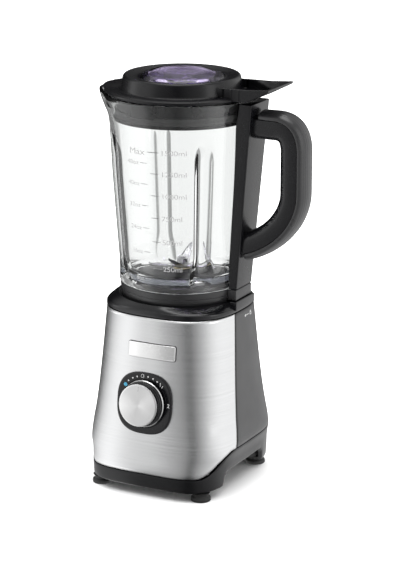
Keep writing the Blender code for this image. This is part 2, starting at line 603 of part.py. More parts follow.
def make_lid(lid):
    """Lid plate with a raised ring, a skirt inside the jug and a thumb tray over the handle."""
    outline = ((42.2, 406.0, 0), (45.0, 405.6, 0), (53.0, 407.0, 0), (55.4, 408.2, 0),
               (56.8, 407.6, 0), (59.9, 395.4, 0), (62.0, LID_PLATE[1], 0),
               (LID_RADIUS - 0.8, LID_PLATE[1], 1), (LID_RADIUS, LID_PLATE[0] + 1.5, 1),
               (LID_RADIUS - 0.6, LID_PLATE[0], 1), (66.2, 390.7, 0), (65.2, 388, 0), (65.0, 366, 0),
               (62.2, 366, 0), (62.2, 389, 0), (57.2, 391.6, 0), (53.8, 403.6, 0), (44.6, 402.4, 0),
               (44.4, 399.6, 0), (38.7, 399.6, 0), (38.7, 402.0, 0), (42.2, 402.0, 0))
    steps = 36
    rings = []
    for radius, height, at_rim in outline:
        ring = []
        for i in range(steps):
            angle = 2 * pi * i / steps
            angle -= 2 * pi if angle > pi else 0.0
            reach = radius + at_rim * spout(angle, 400, LID_SPOUT)
            ring.append((reach * cos(angle), reach * sin(angle), height))
        rings.append(ring)
    body = piece("lid_body", loft(rings, closed=True), "black_plastic", lid)
    tray_side = ((57.5, 391.6), (84, 391.6), (108.6, 402.2), (109.2, 404.6), (84, 403.6), (57.5, 403.6))
    tray = piece("thumb_tray", prism_xz(tray_side, TRAY_HALF), "rubber", lid)
    hollow_side = ((40, 394.4), (83, 394.4), (107.8, 404.9), (84, 412), (40, 412))
    hollow = piece("tray_hollow", prism_xz(hollow_side, TRAY_HALF - TRAY_WALL), "rubber", lid)
    boolean(tray, hollow, 'DIFFERENCE')
    web_side = ((46, 395), (60, 395), (60, 403.4), (46, 403.4))
    for side, sign in (("front", -1), ("rear", 1)):
        low, high = sorted((sign * (TRAY_HALF - TRAY_WALL), sign * TRAY_HALF))
        web = loft([[(x, y, z) for x, z in web_side] for y in (low, high)])
        boolean(body, piece(f"tray_web_{side}", web, "rubber", lid), 'UNION')
    boolean(body, tray, 'UNION')
    seal = ((65.4, 370), (66.3, 370), (66.5, 372), (66.3, 374), (65.4, 374))
    piece("lid_seal", turned(seal, 36), "rubber", lid)


def make_filler_cap(cap):
    """Clear domed cap that drops into the lid's opening, hollow from below."""
    outline = ((0, 415.2), (14, 414.4), (27, 412.0), (36, 409.0), (41.8, 405.8), (41.8, 402.4),
               (38.3, 402.4), (36.6, 384), (34.4, 384), (36.0, 402.4), (34, 406.4), (25, 409.6),
               (13, 411.8), (0, 412.6))
    piece("filler_cap", turned(outline, 28), "tinted_clear", cap)


def main():
    for thing in list(bpy.data.objects):
        bpy.data.objects.remove(thing, do_unlink=True)
    root = empty("jug_axis", (*JUG_AXIS, 0))
    tilt = atan2(along(HALF_DEPTH, CONTROL_Z - 30) - along(HALF_DEPTH, CONTROL_Z + 30), 60)
    face_y = base_point(FRONT, CONTROL_Z).y
    control = empty("control_axis", (CONTROL_X, face_y, CONTROL_Z), root, (pi / 2 - tilt, 0, 0))
    gland_y = BASE_MIDDLE_Y + along(HALF_DEPTH, GLAND_Z)
    gland = empty("gland_axis", (GLAND_X, gland_y, GLAND_Z), root, (-pi / 2, 0, 0))
    make_front_panel(root, control)
    make_body_cover(root)
    gland_hole = make_skirt(root)
    make_bottom_cover(root)
    pin_hole = make_base_housing(root, control, gland_hole)
    make_top_cover(root, pin_hole)
    make_feet_and_screws(root)
    make_controls(root, control)
    make_badge(root)
    make_motor(root)
    make_rotor(root)
    make_electrics(root, gland)
    pin = ((0, 172.6), (2.0, 172.6), (2.0, 187.0), (0, 187.0))
    piece("interlock_pin", turned(pin, 12), "black_plastic", root, (*INTERLOCK_SPOT, 0))
    make_blade_unit(root, root)
    make_jug(root)
    make_handle(root)
    make_lid(root)
    make_filler_cap(root)


main()
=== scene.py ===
from math import atan2, cos, exp, hypot, pi, radians, sin, sqrt

import bmesh
import bpy
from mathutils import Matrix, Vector
from mathutils.geometry import interpolate_bezier


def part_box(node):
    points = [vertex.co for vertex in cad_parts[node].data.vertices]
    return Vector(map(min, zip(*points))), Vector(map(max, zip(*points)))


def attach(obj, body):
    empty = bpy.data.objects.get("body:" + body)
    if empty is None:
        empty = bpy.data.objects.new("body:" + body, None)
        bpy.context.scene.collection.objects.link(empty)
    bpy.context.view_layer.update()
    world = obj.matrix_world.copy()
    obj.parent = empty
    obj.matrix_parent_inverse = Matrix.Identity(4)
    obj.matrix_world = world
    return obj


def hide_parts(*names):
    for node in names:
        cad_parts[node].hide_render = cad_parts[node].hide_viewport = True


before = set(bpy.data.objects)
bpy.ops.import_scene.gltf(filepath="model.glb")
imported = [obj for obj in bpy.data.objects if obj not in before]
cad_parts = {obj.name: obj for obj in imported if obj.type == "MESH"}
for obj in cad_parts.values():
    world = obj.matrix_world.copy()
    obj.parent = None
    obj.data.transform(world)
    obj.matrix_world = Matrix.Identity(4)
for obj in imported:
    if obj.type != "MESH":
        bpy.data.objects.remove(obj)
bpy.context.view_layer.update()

# ---------------------------------------------------------------------------------------------
# The jug's axis. Everything on this blender is measured in millimetres from this upright line:
# x to the handle, -y to the dial, z up from the table. The motor's shaft stands on it.
MM = 0.001
shaft_low, shaft_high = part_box("motor_shaft")
jug_axis = Vector(((shaft_low.x + shaft_high.x) / 2, (shaft_low.y + shaft_high.y) / 2, 0.0))


def node_size(node):
    """Lowest and highest corners of a CAD node, in millimetres from the jug's axis."""
    low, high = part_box(node)
    return (low - jug_axis) / MM, (high - jug_axis) / MM


# ---------------------------------------------------------------------------------------------
# Camera: a long lens about 2.3 metres away, higher than the lid and to the right of the dial, so
# that it looks down a little on the front and the handle's side.
LOOK_DOWN, LOOK_LEFT = 16.02, 27.67
camera = bpy.data.objects.new("camera", bpy.data.cameras.new("camera"))
camera.location = jug_axis + Vector((1.0157, -1.8993, 0.8135))
camera.rotation_euler = (radians(90 - LOOK_DOWN), 0.0, radians(LOOK_LEFT))
camera.data.sensor_width = 36.0
camera.data.lens = 142.35
bpy.context.collection.objects.link(camera)
bpy.context.scene.camera = camera

# ---------------------------------------------------------------------------------------------
# Studio: a white sheet of paper under the machine, and a room whose brightness changes with
# direction, so that the steel shows tall light and dark bands and the glass gets dark edges.
# Soft boxes above and at both sides give the shadows and the gloss.
bpy.context.scene.view_settings.view_transform = 'Standard'
bpy.context.scene.view_settings.look = 'None'

# brightness by direction in degrees: 0 is behind the machine, 90 its right, 180 its front
SEEN_IN_GLOSS = ((-180, 0.42), (-167, 0.48), (-159, 0.52), (-155, 0.70), (-151, 1.05), (-146, 1.4),
                 (-136, 1.45), (-126, 1.3), (-116, 1.12), (-108, 0.92), (-98, 0.58), (-88, 0.30),
                 (-78, 0.10), (-60, 0.02), (-30, 0.02), (-8, 0.2), (8, 0.75), (22, 1.15), (45, 1.2),
                 (85, 1.25), (102, 1.05), (118, 0.76), (134, 0.52), (149, 0.32), (156, 0.12),
                 (164, 0.04), (170, 0.26), (180, 0.42))
SEEN_THROUGH_GLASS = ((-180, 0.40), (-150, 0.40), (-130, 0.7), (-110, 0.8), (-90, 0.6), (-62, 0.28),
                      (-46, 0.34), (-41, 1.0), (-15, 1.0), (-10, 0.36), (6, 0.32), (22, 0.7),
                      (45, 1.3), (100, 1.4), (125, 0.7), (150, 0.4), (180, 0.40))


def ranged(tree, value, low, high, first=0.0, last=1.0, eased=False):
    """Carry a value from between first and last to between low and high."""
    stretch = tree.nodes.new("ShaderNodeMapRange")
    stretch.interpolation_type = 'SMOOTHSTEP' if eased else 'LINEAR'
    for name, limit in (("From Min", first), ("From Max", last), ("To Min", low), ("To Max", high)):
        stretch.inputs[name].default_value = limit
    tree.links.new(value, stretch.inputs["Value"])
    return stretch.outputs[0]


def room_colour(tree, direction, table):
    """Look up the room's brightness by the direction's turn about the upright axis."""
    split_direction = tree.nodes.new("ShaderNodeSeparateXYZ")
    turn = tree.nodes.new("ShaderNodeMath")
    turn.operation = 'ARCTAN2'
    ramp = tree.nodes.new("ShaderNodeValToRGB")
    tree.links.new(direction, split_direction.inputs[0])
    tree.links.new(split_direction.outputs["X"], turn.inputs[0])
    tree.links.new(split_direction.outputs["Y"], turn.inputs[1])
    tree.links.new(ranged(tree, turn.outputs[0], 0.0, 1.0, -pi, pi), ramp.inputs["Fac"])
    stops = ramp.color_ramp.elements
    for i, (towards, brightness) in enumerate(table):
        place = (towards + 180) / 360
        stop = stops[0] if i == 0 else (stops[-1] if i == len(table) - 1 else stops.new(place))
        stop.position = place
        stop.color = (brightness, brightness, brightness, 1.0)
    return ramp.outputs["Color"]


def glow(tree, colour):
    """A surface or a sky that shines with a colour."""
    shining = tree.nodes.new("ShaderNodeEmission")
    tree.links.new(colour, shining.inputs["Color"])
    return shining.outputs[0]


def either(tree, choice, first, second):
    """The first shader where the choice is 0, the second where it is 1."""
    mix = tree.nodes.new("ShaderNodeMixShader")
    for link, socket in zip((choice, first, second), mix.inputs):
        tree.links.new(link, socket)
    return mix.outputs[0]


def seen_by(tree, ray_kind):
    """1 for one kind of ray, else 0."""
    return tree.nodes.new("ShaderNodeLightPath").outputs[ray_kind]


bpy.ops.mesh.primitive_grid_add(x_subdivisions=8, y_subdivisions=8, size=24.0)
studio_floor = bpy.context.object
studio_floor.name = "studio_floor"
floor_paper = bpy.data.materials.new("floor_paper")
floor_paper.use_nodes = True
paper_tree = floor_paper.node_tree
paper_shader = paper_tree.nodes["Principled BSDF"]
paper_shader.inputs["Base Color"].default_value = (0.86, 0.86, 0.86, 1.0)
paper_shader.inputs["Roughness"].default_value = 0.9
paper_shader.inputs["Specular IOR Level"].default_value = 0.1
paper_shader.inputs["Emission Color"].default_value = (1.0, 1.0, 1.0, 1.0)
# The paper glows: not at all within 0.09 m of the machine, more and more out to 0.3 m. The far paper reads
# white, and the paper round the base stays darker, a painted shade added to the real shadow there. In gloss
# and through glass the paper glows with the room's brightness by direction instead.
floor_place = paper_tree.nodes.new("ShaderNodeTexCoord").outputs["Object"]
floor_distance = paper_tree.nodes.new("ShaderNodeVectorMath")
floor_distance.operation = 'LENGTH'
paper_tree.links.new(floor_place, floor_distance.inputs[0])
paper_glow = ranged(paper_tree, floor_distance.outputs["Value"], 0.0, 0.8, 0.09, 0.30)
paper_tree.links.new(paper_glow, paper_shader.inputs["Emission Strength"])
in_gloss = glow(paper_tree, room_colour(paper_tree, floor_place, SEEN_IN_GLOSS))
in_glass = glow(paper_tree, room_colour(paper_tree, floor_place, SEEN_THROUGH_GLASS))
seen = either(paper_tree, seen_by(paper_tree, "Is Glossy Ray"), paper_shader.outputs[0], in_gloss)
seen = either(paper_tree, seen_by(paper_tree, "Is Transmission Ray"), seen, in_glass)
paper_tree.links.new(seen, paper_tree.nodes["Material Output"].inputs["Surface"])
studio_floor.data.materials.append(floor_paper)

room = bpy.data.worlds.new("white_room")
bpy.context.scene.world = room
room.use_nodes = True
room_tree = room.node_tree
room_tree.nodes.clear()
room_direction = room_tree.nodes.new("ShaderNodeTexCoord").outputs["Generated"]
room_height = room_tree.nodes.new("ShaderNodeSeparateXYZ")
room_tree.links.new(room_direction, room_height.inputs[0])
ceiling = ranged(room_tree, room_height.outputs["Z"], 0.0, 1.0, 0.35, 0.75, eased=True)
room_mix = room_tree.nodes.new("ShaderNodeMix")
room_mix.data_type = 'RGBA'
room_mix.inputs["B"].default_value = (0.75, 0.75, 0.75, 1.0)
room_tree.links.new(ceiling, room_mix.inputs["Factor"])
room_tree.links.new(room_colour(room_tree, room_direction, SEEN_IN_GLOSS), room_mix.inputs["A"])
in_gloss = glow(room_tree, room_mix.outputs["Result"])
in_glass = glow(room_tree, room_colour(room_tree, room_direction, SEEN_THROUGH_GLASS))
seen = either(room_tree, seen_by(room_tree, "Is Transmission Ray"), in_gloss, in_glass)
room_tree.links.new(seen, room_tree.nodes.new("ShaderNodeOutputWorld").inputs["Surface"])


def soft_box(name, spot, aim, size, watts):
    """A rectangular lamp at a spot in metres, turned to face a point."""
    lamp = bpy.data.objects.new(name, bpy.data.lights.new(name, 'AREA'))
    lamp.data.shape = 'RECTANGLE'
    lamp.data.size, lamp.data.size_y = size
    lamp.data.energy = watts
    lamp.location = spot
    lamp.rotation_euler = (Vector(aim) - Vector(spot)).to_track_quat('-Z', 'Y').to_euler()
    bpy.context.collection.objects.link(lamp)
    return lamp


soft_box("top_light", spot=(-0.1, 0.1, 1.9), aim=(0, 0, 0.1), size=(1.3, 1.3), watts=17)
paper_light = soft_box("paper_light", spot=(0, 0, 2.4), aim=(0, 0, 0), size=(3.4, 3.4), watts=95)
paper_only = bpy.data.collections.new("paper_only")
paper_only.objects.link(studio_floor)
paper_light.light_linking.receiver_collection = paper_only
soft_box("left_light", spot=(-1.5, -0.35, 0.8), aim=(0, 0, 0.2), size=(0.5, 1.5), watts=3)
soft_box("right_light", spot=(1.5, -0.15, 0.8), aim=(0, 0, 0.2), size=(0.5, 1.5), watts=3)

# ---------------------------------------------------------------------------------------------
# Skirt: the black moulded ring under the shell. It carries the shell's lower edge, rises at the
# sides and is arched there so that air gets under the motor. Injection-moulded ABS, satin.
BASE_MIDDLE_Y = -3.6
HALF_WIDTH = ((9, 70.5), (20, 71.6), (36, 74.2), (45, 77.4), (52, 78.0), (62, 77.4),
              (79, 75.4), (118, 72.3), (180, 68.6))
HALF_DEPTH = ((9, 81.0), (23, 82.2), (45, 79.5), (88, 73.8), (145, 68.2), (180, 65.5))
SQUARENESS = ((9, 4.6), (60, 3.5), (180, 2.7))
SKIRT_FOOT, STEEL_FOOT, COVER_FOOT, SHELL_TOP = 9.0, 23.5, 45.5, 180.0
SKIRT_WALL = 3.0
FOOT_RISES_FROM, FOOT_RISES_OVER = radians(38), radians(31.5)
SIDE_ARCH = ((-46.5, 0.0), (-44.0, 9.5), (-39.0, 14.6), (33.0, 14.6), (38.0, 9.5), (40.5, 0.0))


def smooth_step(value):
    """Ease from 0 to 1."""
    value = min(max(value, 0.0), 1.0)
    return value * value * (3 - 2 * value)


def along(table, key, soft=True):
    """Read a (key, value) table between its rows, on a smooth curve or on straight lines."""
    if key <= table[0][0]:
        return table[0][1]
    if key >= table[-1][0]:
        return table[-1][1]
    i = next(n for n in range(len(table) - 1) if key <= table[n + 1][0])
    (x0, y0), (x1, y1) = table[i], table[i + 1]
    t = (key - x0) / (x1 - x0)
    if not soft:
        return y0 + (y1 - y0) * t

    def slope(n):
        if n in (0, len(table) - 1):
            m = 0 if n == 0 else n - 1
            return (table[m + 1][1] - table[m][1]) / (table[m + 1][0] - table[m][0])
        before = (table[n][1] - table[n - 1][1]) / (table[n][0] - table[n - 1][0])
        after = (table[n + 1][1] - table[n][1]) / (table[n + 1][0] - table[n][0])
        return 0.0 if before * after <= 0 else 2 * before * after / (before + after)
    run = x1 - x0
    return (y0 * (1 + 2 * t) * (1 - t) ** 2 + slope(i) * run * t * (1 - t) ** 2
            + y1 * t * t * (3 - 2 * t) + slope(i + 1) * run * t * t * (t - 1))


def base_point(angle, height, inset=0.0):
    """A point on the shell's outside, or that far inside it: a rounded square at every height."""
    power = along(SQUARENESS, height)
    across = abs(cos(angle)) / (along(HALF_WIDTH, height) - inset)
    deep = abs(sin(angle)) / (along(HALF_DEPTH, height) - inset)
    reach = (across ** power + deep ** power) ** (-1 / power)
    return Vector((reach * cos(angle), BASE_MIDDLE_Y + reach * sin(angle), height))


def panel_foot(angle):
    """Lower edge of the shell: low across the front, easing up round the corners to the sides."""
    off_front = abs((angle + pi / 2 + pi) % (2 * pi) - pi)
    risen = smooth_step((off_front - FOOT_RISES_FROM) / FOOT_RISES_OVER)
    return STEEL_FOOT + (COVER_FOOT - STEEL_FOOT) * risen


def walls(bm, one, two):
    """Faces between two loops of as many corners."""
    for i in range(len(one)):
        j = (i + 1) % len(one)
        bm.faces.new((one[i], one[j], two[j], two[i]))


def lofted(name, rings, closed=False, smooth=40):
    """Skin a list of equal rings of points, in millimetres from the jug's axis."""
    bm = bmesh.new()
    loops = [[bm.verts.new(point) for point in ring] for ring in rings]
    for one, two in list(zip(loops, loops[1:])) + ([(loops[-1], loops[0])] if closed else []):
        walls(bm, one, two)
    if not closed:
        bm.faces.new(loops[0])
        bm.faces.new(loops[-1])
    return as_piece(name, bm, smooth)


def as_piece(name, bm, smooth=40):
    """Make a closed bmesh in millimetres an object that stands on the jug's axis."""
    bmesh.ops.remove_doubles(bm, verts=bm.verts, dist=0.0005)
    bmesh.ops.recalc_face_normals(bm, faces=bm.faces)
    bmesh.ops.scale(bm, vec=(MM, MM, MM), verts=bm.verts)
    mesh = bpy.data.meshes.new(name)
    bm.to_mesh(mesh)
    bm.free()
    mesh.shade_smooth()
    mesh.set_sharp_from_angle(angle=radians(smooth))
    made = bpy.data.objects.new(name, mesh)
    made.location = jug_axis
    bpy.context.collection.objects.link(made)
    return made


def dressed(made, material, body, *nodes, slot):
    """Give a piece its finish, its body and the CAD nodes it stands for; the slot is not used."""
    made.data.materials.clear()
    made.data.materials.append(material)
    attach(made, body)
    if nodes:
        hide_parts(*nodes)
    return made


def new_finish(name, metallic=0.0):
    """Start a finish: the material, its node tree, its shader and the place on the piece."""
    material = bpy.data.materials.new(name)
    material.use_nodes = True
    tree = material.node_tree
    shader = tree.nodes["Principled BSDF"]
    shader.inputs["Metallic"].default_value = metallic
    return material, tree, shader, tree.nodes.new("ShaderNodeTexCoord").outputs["Object"]


def cloudy(tree, where, scale, detail, contrast=0.5):
    """A value that wanders from place to place."""
    noise = tree.nodes.new("ShaderNodeTexNoise")
    noise.inputs["Scale"].default_value = scale
    noise.inputs["Detail"].default_value = detail
    noise.inputs["Roughness"].default_value = contrast
    tree.links.new(where, noise.inputs["Vector"])
    return noise.outputs["Fac"]


def two_tone(tree, shader, amount, first, second):
    """Colour a finish from the first to the second colour as an amount goes from 0 to 1."""
    tint = tree.nodes.new("ShaderNodeMix")
    tint.data_type = 'RGBA'
    tint.inputs["A"].default_value = (*(min(c, 1.0) for c in first), 1.0)
    tint.inputs["B"].default_value = (*(min(c, 1.0) for c in second), 1.0)
    tree.links.new(amount, tint.inputs["Factor"])
    tree.links.new(tint.outputs["Result"], shader.inputs["Base Color"])


def uneven_gloss(tree, shader, amount, low, high, first=0.0, last=1.0):
    """Let a finish's roughness go from low to high as an amount goes from first to last."""
    tree.links.new(ranged(tree, amount, low, high, first, last), shader.inputs["Roughness"])


def fine_relief(tree, shader, height, strength, distance):
    """Raise a finish's surface by a value, to a depth in metres."""
    relief = tree.nodes.new("ShaderNodeBump")
    relief.inputs["Strength"].default_value = strength
    relief.inputs["Distance"].default_value = distance
    tree.links.new(height, relief.inputs["Height"])
    tree.links.new(relief.outputs[0], shader.inputs["Normal"])


def shades(colour, darker, lighter):
    """A darker and a lighter shade of a colour."""
    return [c * darker for c in colour], [c * lighter for c in colour]


def moulded_plastic(name, colour, roughness, grain=0.25, grain_size=0.00045, mottle=0.05, shine=0.5):
    """Moulded plastic: an even colour, a fine spark-eroded grain and a slightly uneven gloss."""
    material, tree, shader, where = new_finish(name)
    patches = cloudy(tree, where, 38.0, 4.0)
    uneven_gloss(tree, shader, patches, roughness - mottle, roughness + mottle, 0.3, 0.7)
    two_tone(tree, shader, patches, *shades(colour, 0.86, 1.14))
    fine_relief(tree, shader, cloudy(tree, where, 1.0 / grain_size, 2.0), grain, 0.00004)
    shader.inputs["IOR"].default_value = 1.5
    shader.inputs["Specular IOR Level"].default_value = shine
    return material


satin_black = moulded_plastic("satin_black", (0.004, 0.004, 0.005), 0.34, shine=0.36)


def skirt_foot(angle):
    """Lower edge of the skirt, lifted over the arch on each side."""
    spot = base_point(angle, SKIRT_FOOT)
    lift = along(SIDE_ARCH, spot.y, soft=False) if abs(cos(angle)) > 0.5 else 0.0
    return SKIRT_FOOT + lift


SKIRT_STEPS, FOOT_ROUNDING, TOP_ROUNDING = 384, 2.2, 0.5
slices = []
for i in range(SKIRT_STEPS):
    angle = 2 * pi * i / SKIRT_STEPS
    foot, top = skirt_foot(angle), panel_foot(angle)
    outline = [(FOOT_ROUNDING * (1 - sin(a)), foot + FOOT_ROUNDING * (1 - cos(a)))
               for a in (0, pi / 8, pi / 4, 3 * pi / 8, pi / 2)]
    outline += [(0.0, foot + (top - foot) * s) for s in (0.35, 0.6, 0.85)]
    outline += [(TOP_ROUNDING * (1 - cos(a)), top - TOP_ROUNDING * (1 - sin(a)))
                for a in (0, pi / 4, pi / 2)]
    outline += [(SKIRT_WALL, top), (SKIRT_WALL, (foot + top) / 2), (SKIRT_WALL, foot)]
    slices.append([base_point(angle, height, inset) for inset, height in outline])
skirt = lofted("skirt_ring", list(zip(*slices)), closed=True)
dressed(skirt, satin_black, "motor_base", "skirt", slot="black_plastic")

# ---------------------------------------------------------------------------------------------
# Feet: four soft rubber feet with a waist, pushed into bosses under the corners.
rubber = moulded_plastic("soft_rubber", (0.016, 0.016, 0.016), 0.62, grain=0.5, grain_size=0.0008)


def disc(across, up, radius, steps=24):
    """A round outline."""
    return [(across + radius * cos(2 * pi * i / steps), up + radius * sin(2 * pi * i / steps))
            for i in range(steps)]


def turned(name, profile, steps=96, smooth=40):
    """Spin a closed outline of (radius, height) points round the upright axis."""
    bm = bmesh.new()
    rings = []
    for radius, height in profile:
        if radius < 1e-6:
            rings.append([bm.verts.new((0, 0, height))] * steps)
        else:
            rings.append([bm.verts.new((x, y, height)) for x, y in disc(0, 0, radius, steps)])
    for one, two in zip(rings, rings[1:] + rings[:1]):
        for i in range(steps):
            j = (i + 1) % steps
            corners = list(dict.fromkeys((one[i], one[j], two[j], two[i])))
            if len(corners) > 2:
                bm.faces.new(corners)
    return as_piece(name, bm, smooth)


def rounded(corners, steps=4):
    """Round the corners of an outline of (radius, height, rounding) points."""
    outline = []
    for i, (x, z, rounding) in enumerate(corners):
        here = Vector((x, z))
        if rounding == 0:
            outline.append((x, z))
            continue
        before = Vector(corners[i - 1][:2]) - here
        after = Vector(corners[(i + 1) % len(corners)][:2]) - here
        start = here + before.normalized() * min(rounding, before.length * 0.49)
        end = here + after.normalized() * min(rounding, after.length * 0.49)
        for k in range(steps + 1):
            t = k / steps
            point = start * (1 - t) ** 2 + here * 2 * t * (1 - t) + end * t * t
            outline.append((point.x, point.y))
    return outline


FOOT_OUTLINE = ((0, 0.5, 0), (7.5, 0.5, 0), (8.0, 0, 0), (10, 0, 1.2), (10, 3.4, 1.2), (7.7, 5.2, 1.0),
                (7.7, 6.6, 0.8), (9.4, 8.6, 0.3), (0, 8.6, 0))
for corner in ("front_left", "front_right", "rear_left", "rear_right"):
    low, high = node_size(f"foot_{corner}")
    foot = turned(f"rubber_{corner}", rounded(FOOT_OUTLINE), steps=64)
    foot.location = jug_axis + Vector((low.x + high.x, low.y + high.y, 0)) / 2 * MM
    dressed(foot, rubber, "motor_base", f"foot_{corner}", slot="rubber")

# ---------------------------------------------------------------------------------------------
# Steel wrap: one sheet of stainless steel, brushed along its length and bent round the front and
# both front corners, with a hole behind the dial plate. Its edges are turned over on the real machine, but
# they are left square here.
SEAM_TOP, SEAM_FOOT = radians(-12.1), radians(-20.0)
STEEL_THICKNESS = 1.0
SEAM_HALF_GAP = radians(0.72)


def seam(height):
    """Angle of the joint between the steel and the side cover at one height."""
    return SEAM_FOOT + (SEAM_TOP - SEAM_FOOT) * (height - COVER_FOOT) / (SHELL_TOP - COVER_FOOT)


def settle(made):
    """Turn a piece's modifiers into its mesh."""
    finished = made.evaluated_get(bpy.context.evaluated_depsgraph_get())
    mesh = bpy.data.meshes.new_from_object(finished)
    made.modifiers.clear()
    made.data = mesh
    return made


def cut(made, *cutters):
    """Take the shape of each cutter out of a piece."""
    bpy.context.view_layer.update()
    for cutter in cutters:
        taken = made.modifiers.new("cut", 'BOOLEAN')
        taken.object = cutter
        taken.operation = 'DIFFERENCE'
        taken.solver = 'EXACT'
    settle(made)
    for cutter in cutters:
        bpy.data.objects.remove(cutter, do_unlink=True)
    return made


def wrapped_sheet(name, ends, columns, rows, foot_gap, top, wall):
    """A curved wall between two angles, as thick as a sheet."""
    start, end = ends
    bm = bmesh.new()
    grid = []
    for i in range(columns + 1):
        across = i / columns
        column = []
        for k in range(rows + 1):
            up = k / rows
            guess = panel_foot(start(100) + (end(100) - start(100)) * across) + foot_gap
            height = guess + (top - guess) * up
            angle = start(height) + (end(height) - start(height)) * across
            column.append(bm.verts.new(base_point(angle, height)))
        grid.append(column)
    for i in range(columns):
        for k in range(rows):
            bm.faces.new((grid[i][k], grid[i + 1][k], grid[i + 1][k + 1], grid[i][k + 1]))
    made = as_piece(name, bm)
    solid = made.modifiers.new("thickness", 'SOLIDIFY')
    solid.thickness = wall * MM
    solid.offset = -1.0
    solid.use_even_offset = True
    return settle(made)


def soft_edges(made, width, segments=3, over=50):
    """Round every edge of a piece that is sharper than an angle."""
    soft = made.modifiers.new("soft_edges", 'BEVEL')
    soft.width = width * MM
    soft.segments = segments
    soft.limit_method = 'ANGLE'
    soft.angle_limit = radians(over)
    soft.harden_normals = True
    made.data.shade_smooth()
    return settle(made)


CONTROL_X, CONTROL_Z = -1.0, 94.5
PLATE_WIDTH, PLATE_HEIGHT, PLATE_POWER = 60.0, 61.5, 2.7
TILT_SPAN = 30
front_above = along(HALF_DEPTH, CONTROL_Z + TILT_SPAN, False)
front_below = along(HALF_DEPTH, CONTROL_Z - TILT_SPAN, False)
control_tilt = atan2(front_below - front_above, 2 * TILT_SPAN)
control_face = base_point(-pi / 2, CONTROL_Z)


def on_control(made):
    """Stand a piece on the tilted front of the shell, on the knob's axis."""
    made.location = jug_axis + Vector((CONTROL_X, control_face.y, CONTROL_Z)) * MM
    made.rotation_euler = (pi / 2 - control_tilt, 0, 0)
    bpy.context.view_layer.update()
    return made


def plate_edge(depth, grow=0.0, steps=128):
    """The dial plate's outline, a square with very round corners, at one depth."""
    points = []
    for i in range(steps):
        angle = 2 * pi * i / steps
        reach = ((abs(cos(angle)) / (PLATE_WIDTH / 2 + grow)) ** PLATE_POWER
                 + (abs(sin(angle)) / (PLATE_HEIGHT / 2 + grow)) ** PLATE_POWER) ** (-1 / PLATE_POWER)
        points.append((reach * cos(angle), reach * sin(angle), depth))
    return points


def lathe_grain(tree, shader, anisotropy):
    """Stretch a finish's sheen along rings about the piece's upright axis."""
    shader.inputs["Anisotropic"].default_value = anisotropy
    grain = tree.nodes.new("ShaderNodeTangent")
    grain.direction_type = 'RADIAL'
    grain.axis = 'Z'
    tree.links.new(grain.outputs[0], shader.inputs["Tangent"])


def brushed_metal(name, colour, roughness, along_scale, across_scale, strength, anisotropy):
    """Brushed metal: long fine scratches that run level, and a sheen stretched across them."""
    material, tree, shader, where = new_finish(name, 1.0)
    stretch = tree.nodes.new("ShaderNodeMapping")
    stretch.inputs["Scale"].default_value = (along_scale, along_scale, across_scale)
    tree.links.new(where, stretch.inputs["Vector"])
    scratches = cloudy(tree, stretch.outputs[0], 1.0, 6.0, 0.7)
    uneven_gloss(tree, shader, scratches, roughness - 0.04, roughness + 0.04, 0.25, 0.75)
    two_tone(tree, shader, scratches, *shades(colour, 0.84, 1.14))
    fine_relief(tree, shader, scratches, strength, 0.00002)
    lathe_grain(tree, shader, anisotropy)
    return material


brushed_steel = brushed_metal("brushed_steel", (0.72, 0.725, 0.73), 0.24, along_scale=6.0,
                              across_scale=1500.0, strength=0.1, anisotropy=0.85)
EDGE_GAP, OPENING_LIP = 0.8, 4.0
steel = wrapped_sheet("steel_wrap",
                      (lambda z: -pi - seam(z) + SEAM_HALF_GAP, lambda z: seam(z) - SEAM_HALF_GAP),
                      columns=150, rows=48, foot_gap=1.1, top=SHELL_TOP - EDGE_GAP, wall=STEEL_THICKNESS)
cut(steel, on_control(lofted("dial_opening", [plate_edge(-9, -OPENING_LIP), plate_edge(9, -OPENING_LIP)])))
dressed(steel, brushed_steel, "motor_base", "front_panel", slot="brushed_steel")

# ---------------------------------------------------------------------------------------------
# Side and back cover: one charcoal moulding from seam to seam, finely textured, with a row of
# upright air slots behind the motor.
charcoal = moulded_plastic("charcoal_plastic", (0.04, 0.04, 0.041), 0.42)
COVER_WALL = 2.4
AIR_SLOTS, FIRST_SLOT, SLOT_SPACING = 6, -30, 12


def prism(name, outline, direction, near, far, smooth=40):
    """Draw a flat outline out along x, y or z between two distances."""
    turned_to = {"x": lambda a, b, c: (c, a, b), "y": lambda a, b, c: (a, c, b),
                 "z": lambda a, b, c: (a, b, c)}[direction]
    return lofted(name, [[turned_to(a, b, c) for a, b in outline] for c in (near, far)], smooth=smooth)


def stadium(middle, foot, top, half, steps=8):
    """An upright slot with round ends, as an outline."""
    bend = [pi * i / steps for i in range(steps + 1)]
    return ([(middle + half * cos(a), top - half + half * sin(a)) for a in bend]
            + [(middle - half * cos(a), foot + half - half * sin(a)) for a in bend])


cover = wrapped_sheet("side_and_back_cover",
                      (lambda z: seam(z) + SEAM_HALF_GAP, lambda z: pi - seam(z) - SEAM_HALF_GAP),
                      columns=160, rows=40, foot_gap=1.0, top=SHELL_TOP - EDGE_GAP, wall=COVER_WALL)
cut(cover, *(prism(f"air_slot_{i}", stadium(FIRST_SLOT + SLOT_SPACING * i, 110, 140, 2), "y", 50, 95)
             for i in range(AIR_SLOTS)))
dressed(cover, charcoal, "motor_base", "body_cover", slot="grey_plastic")

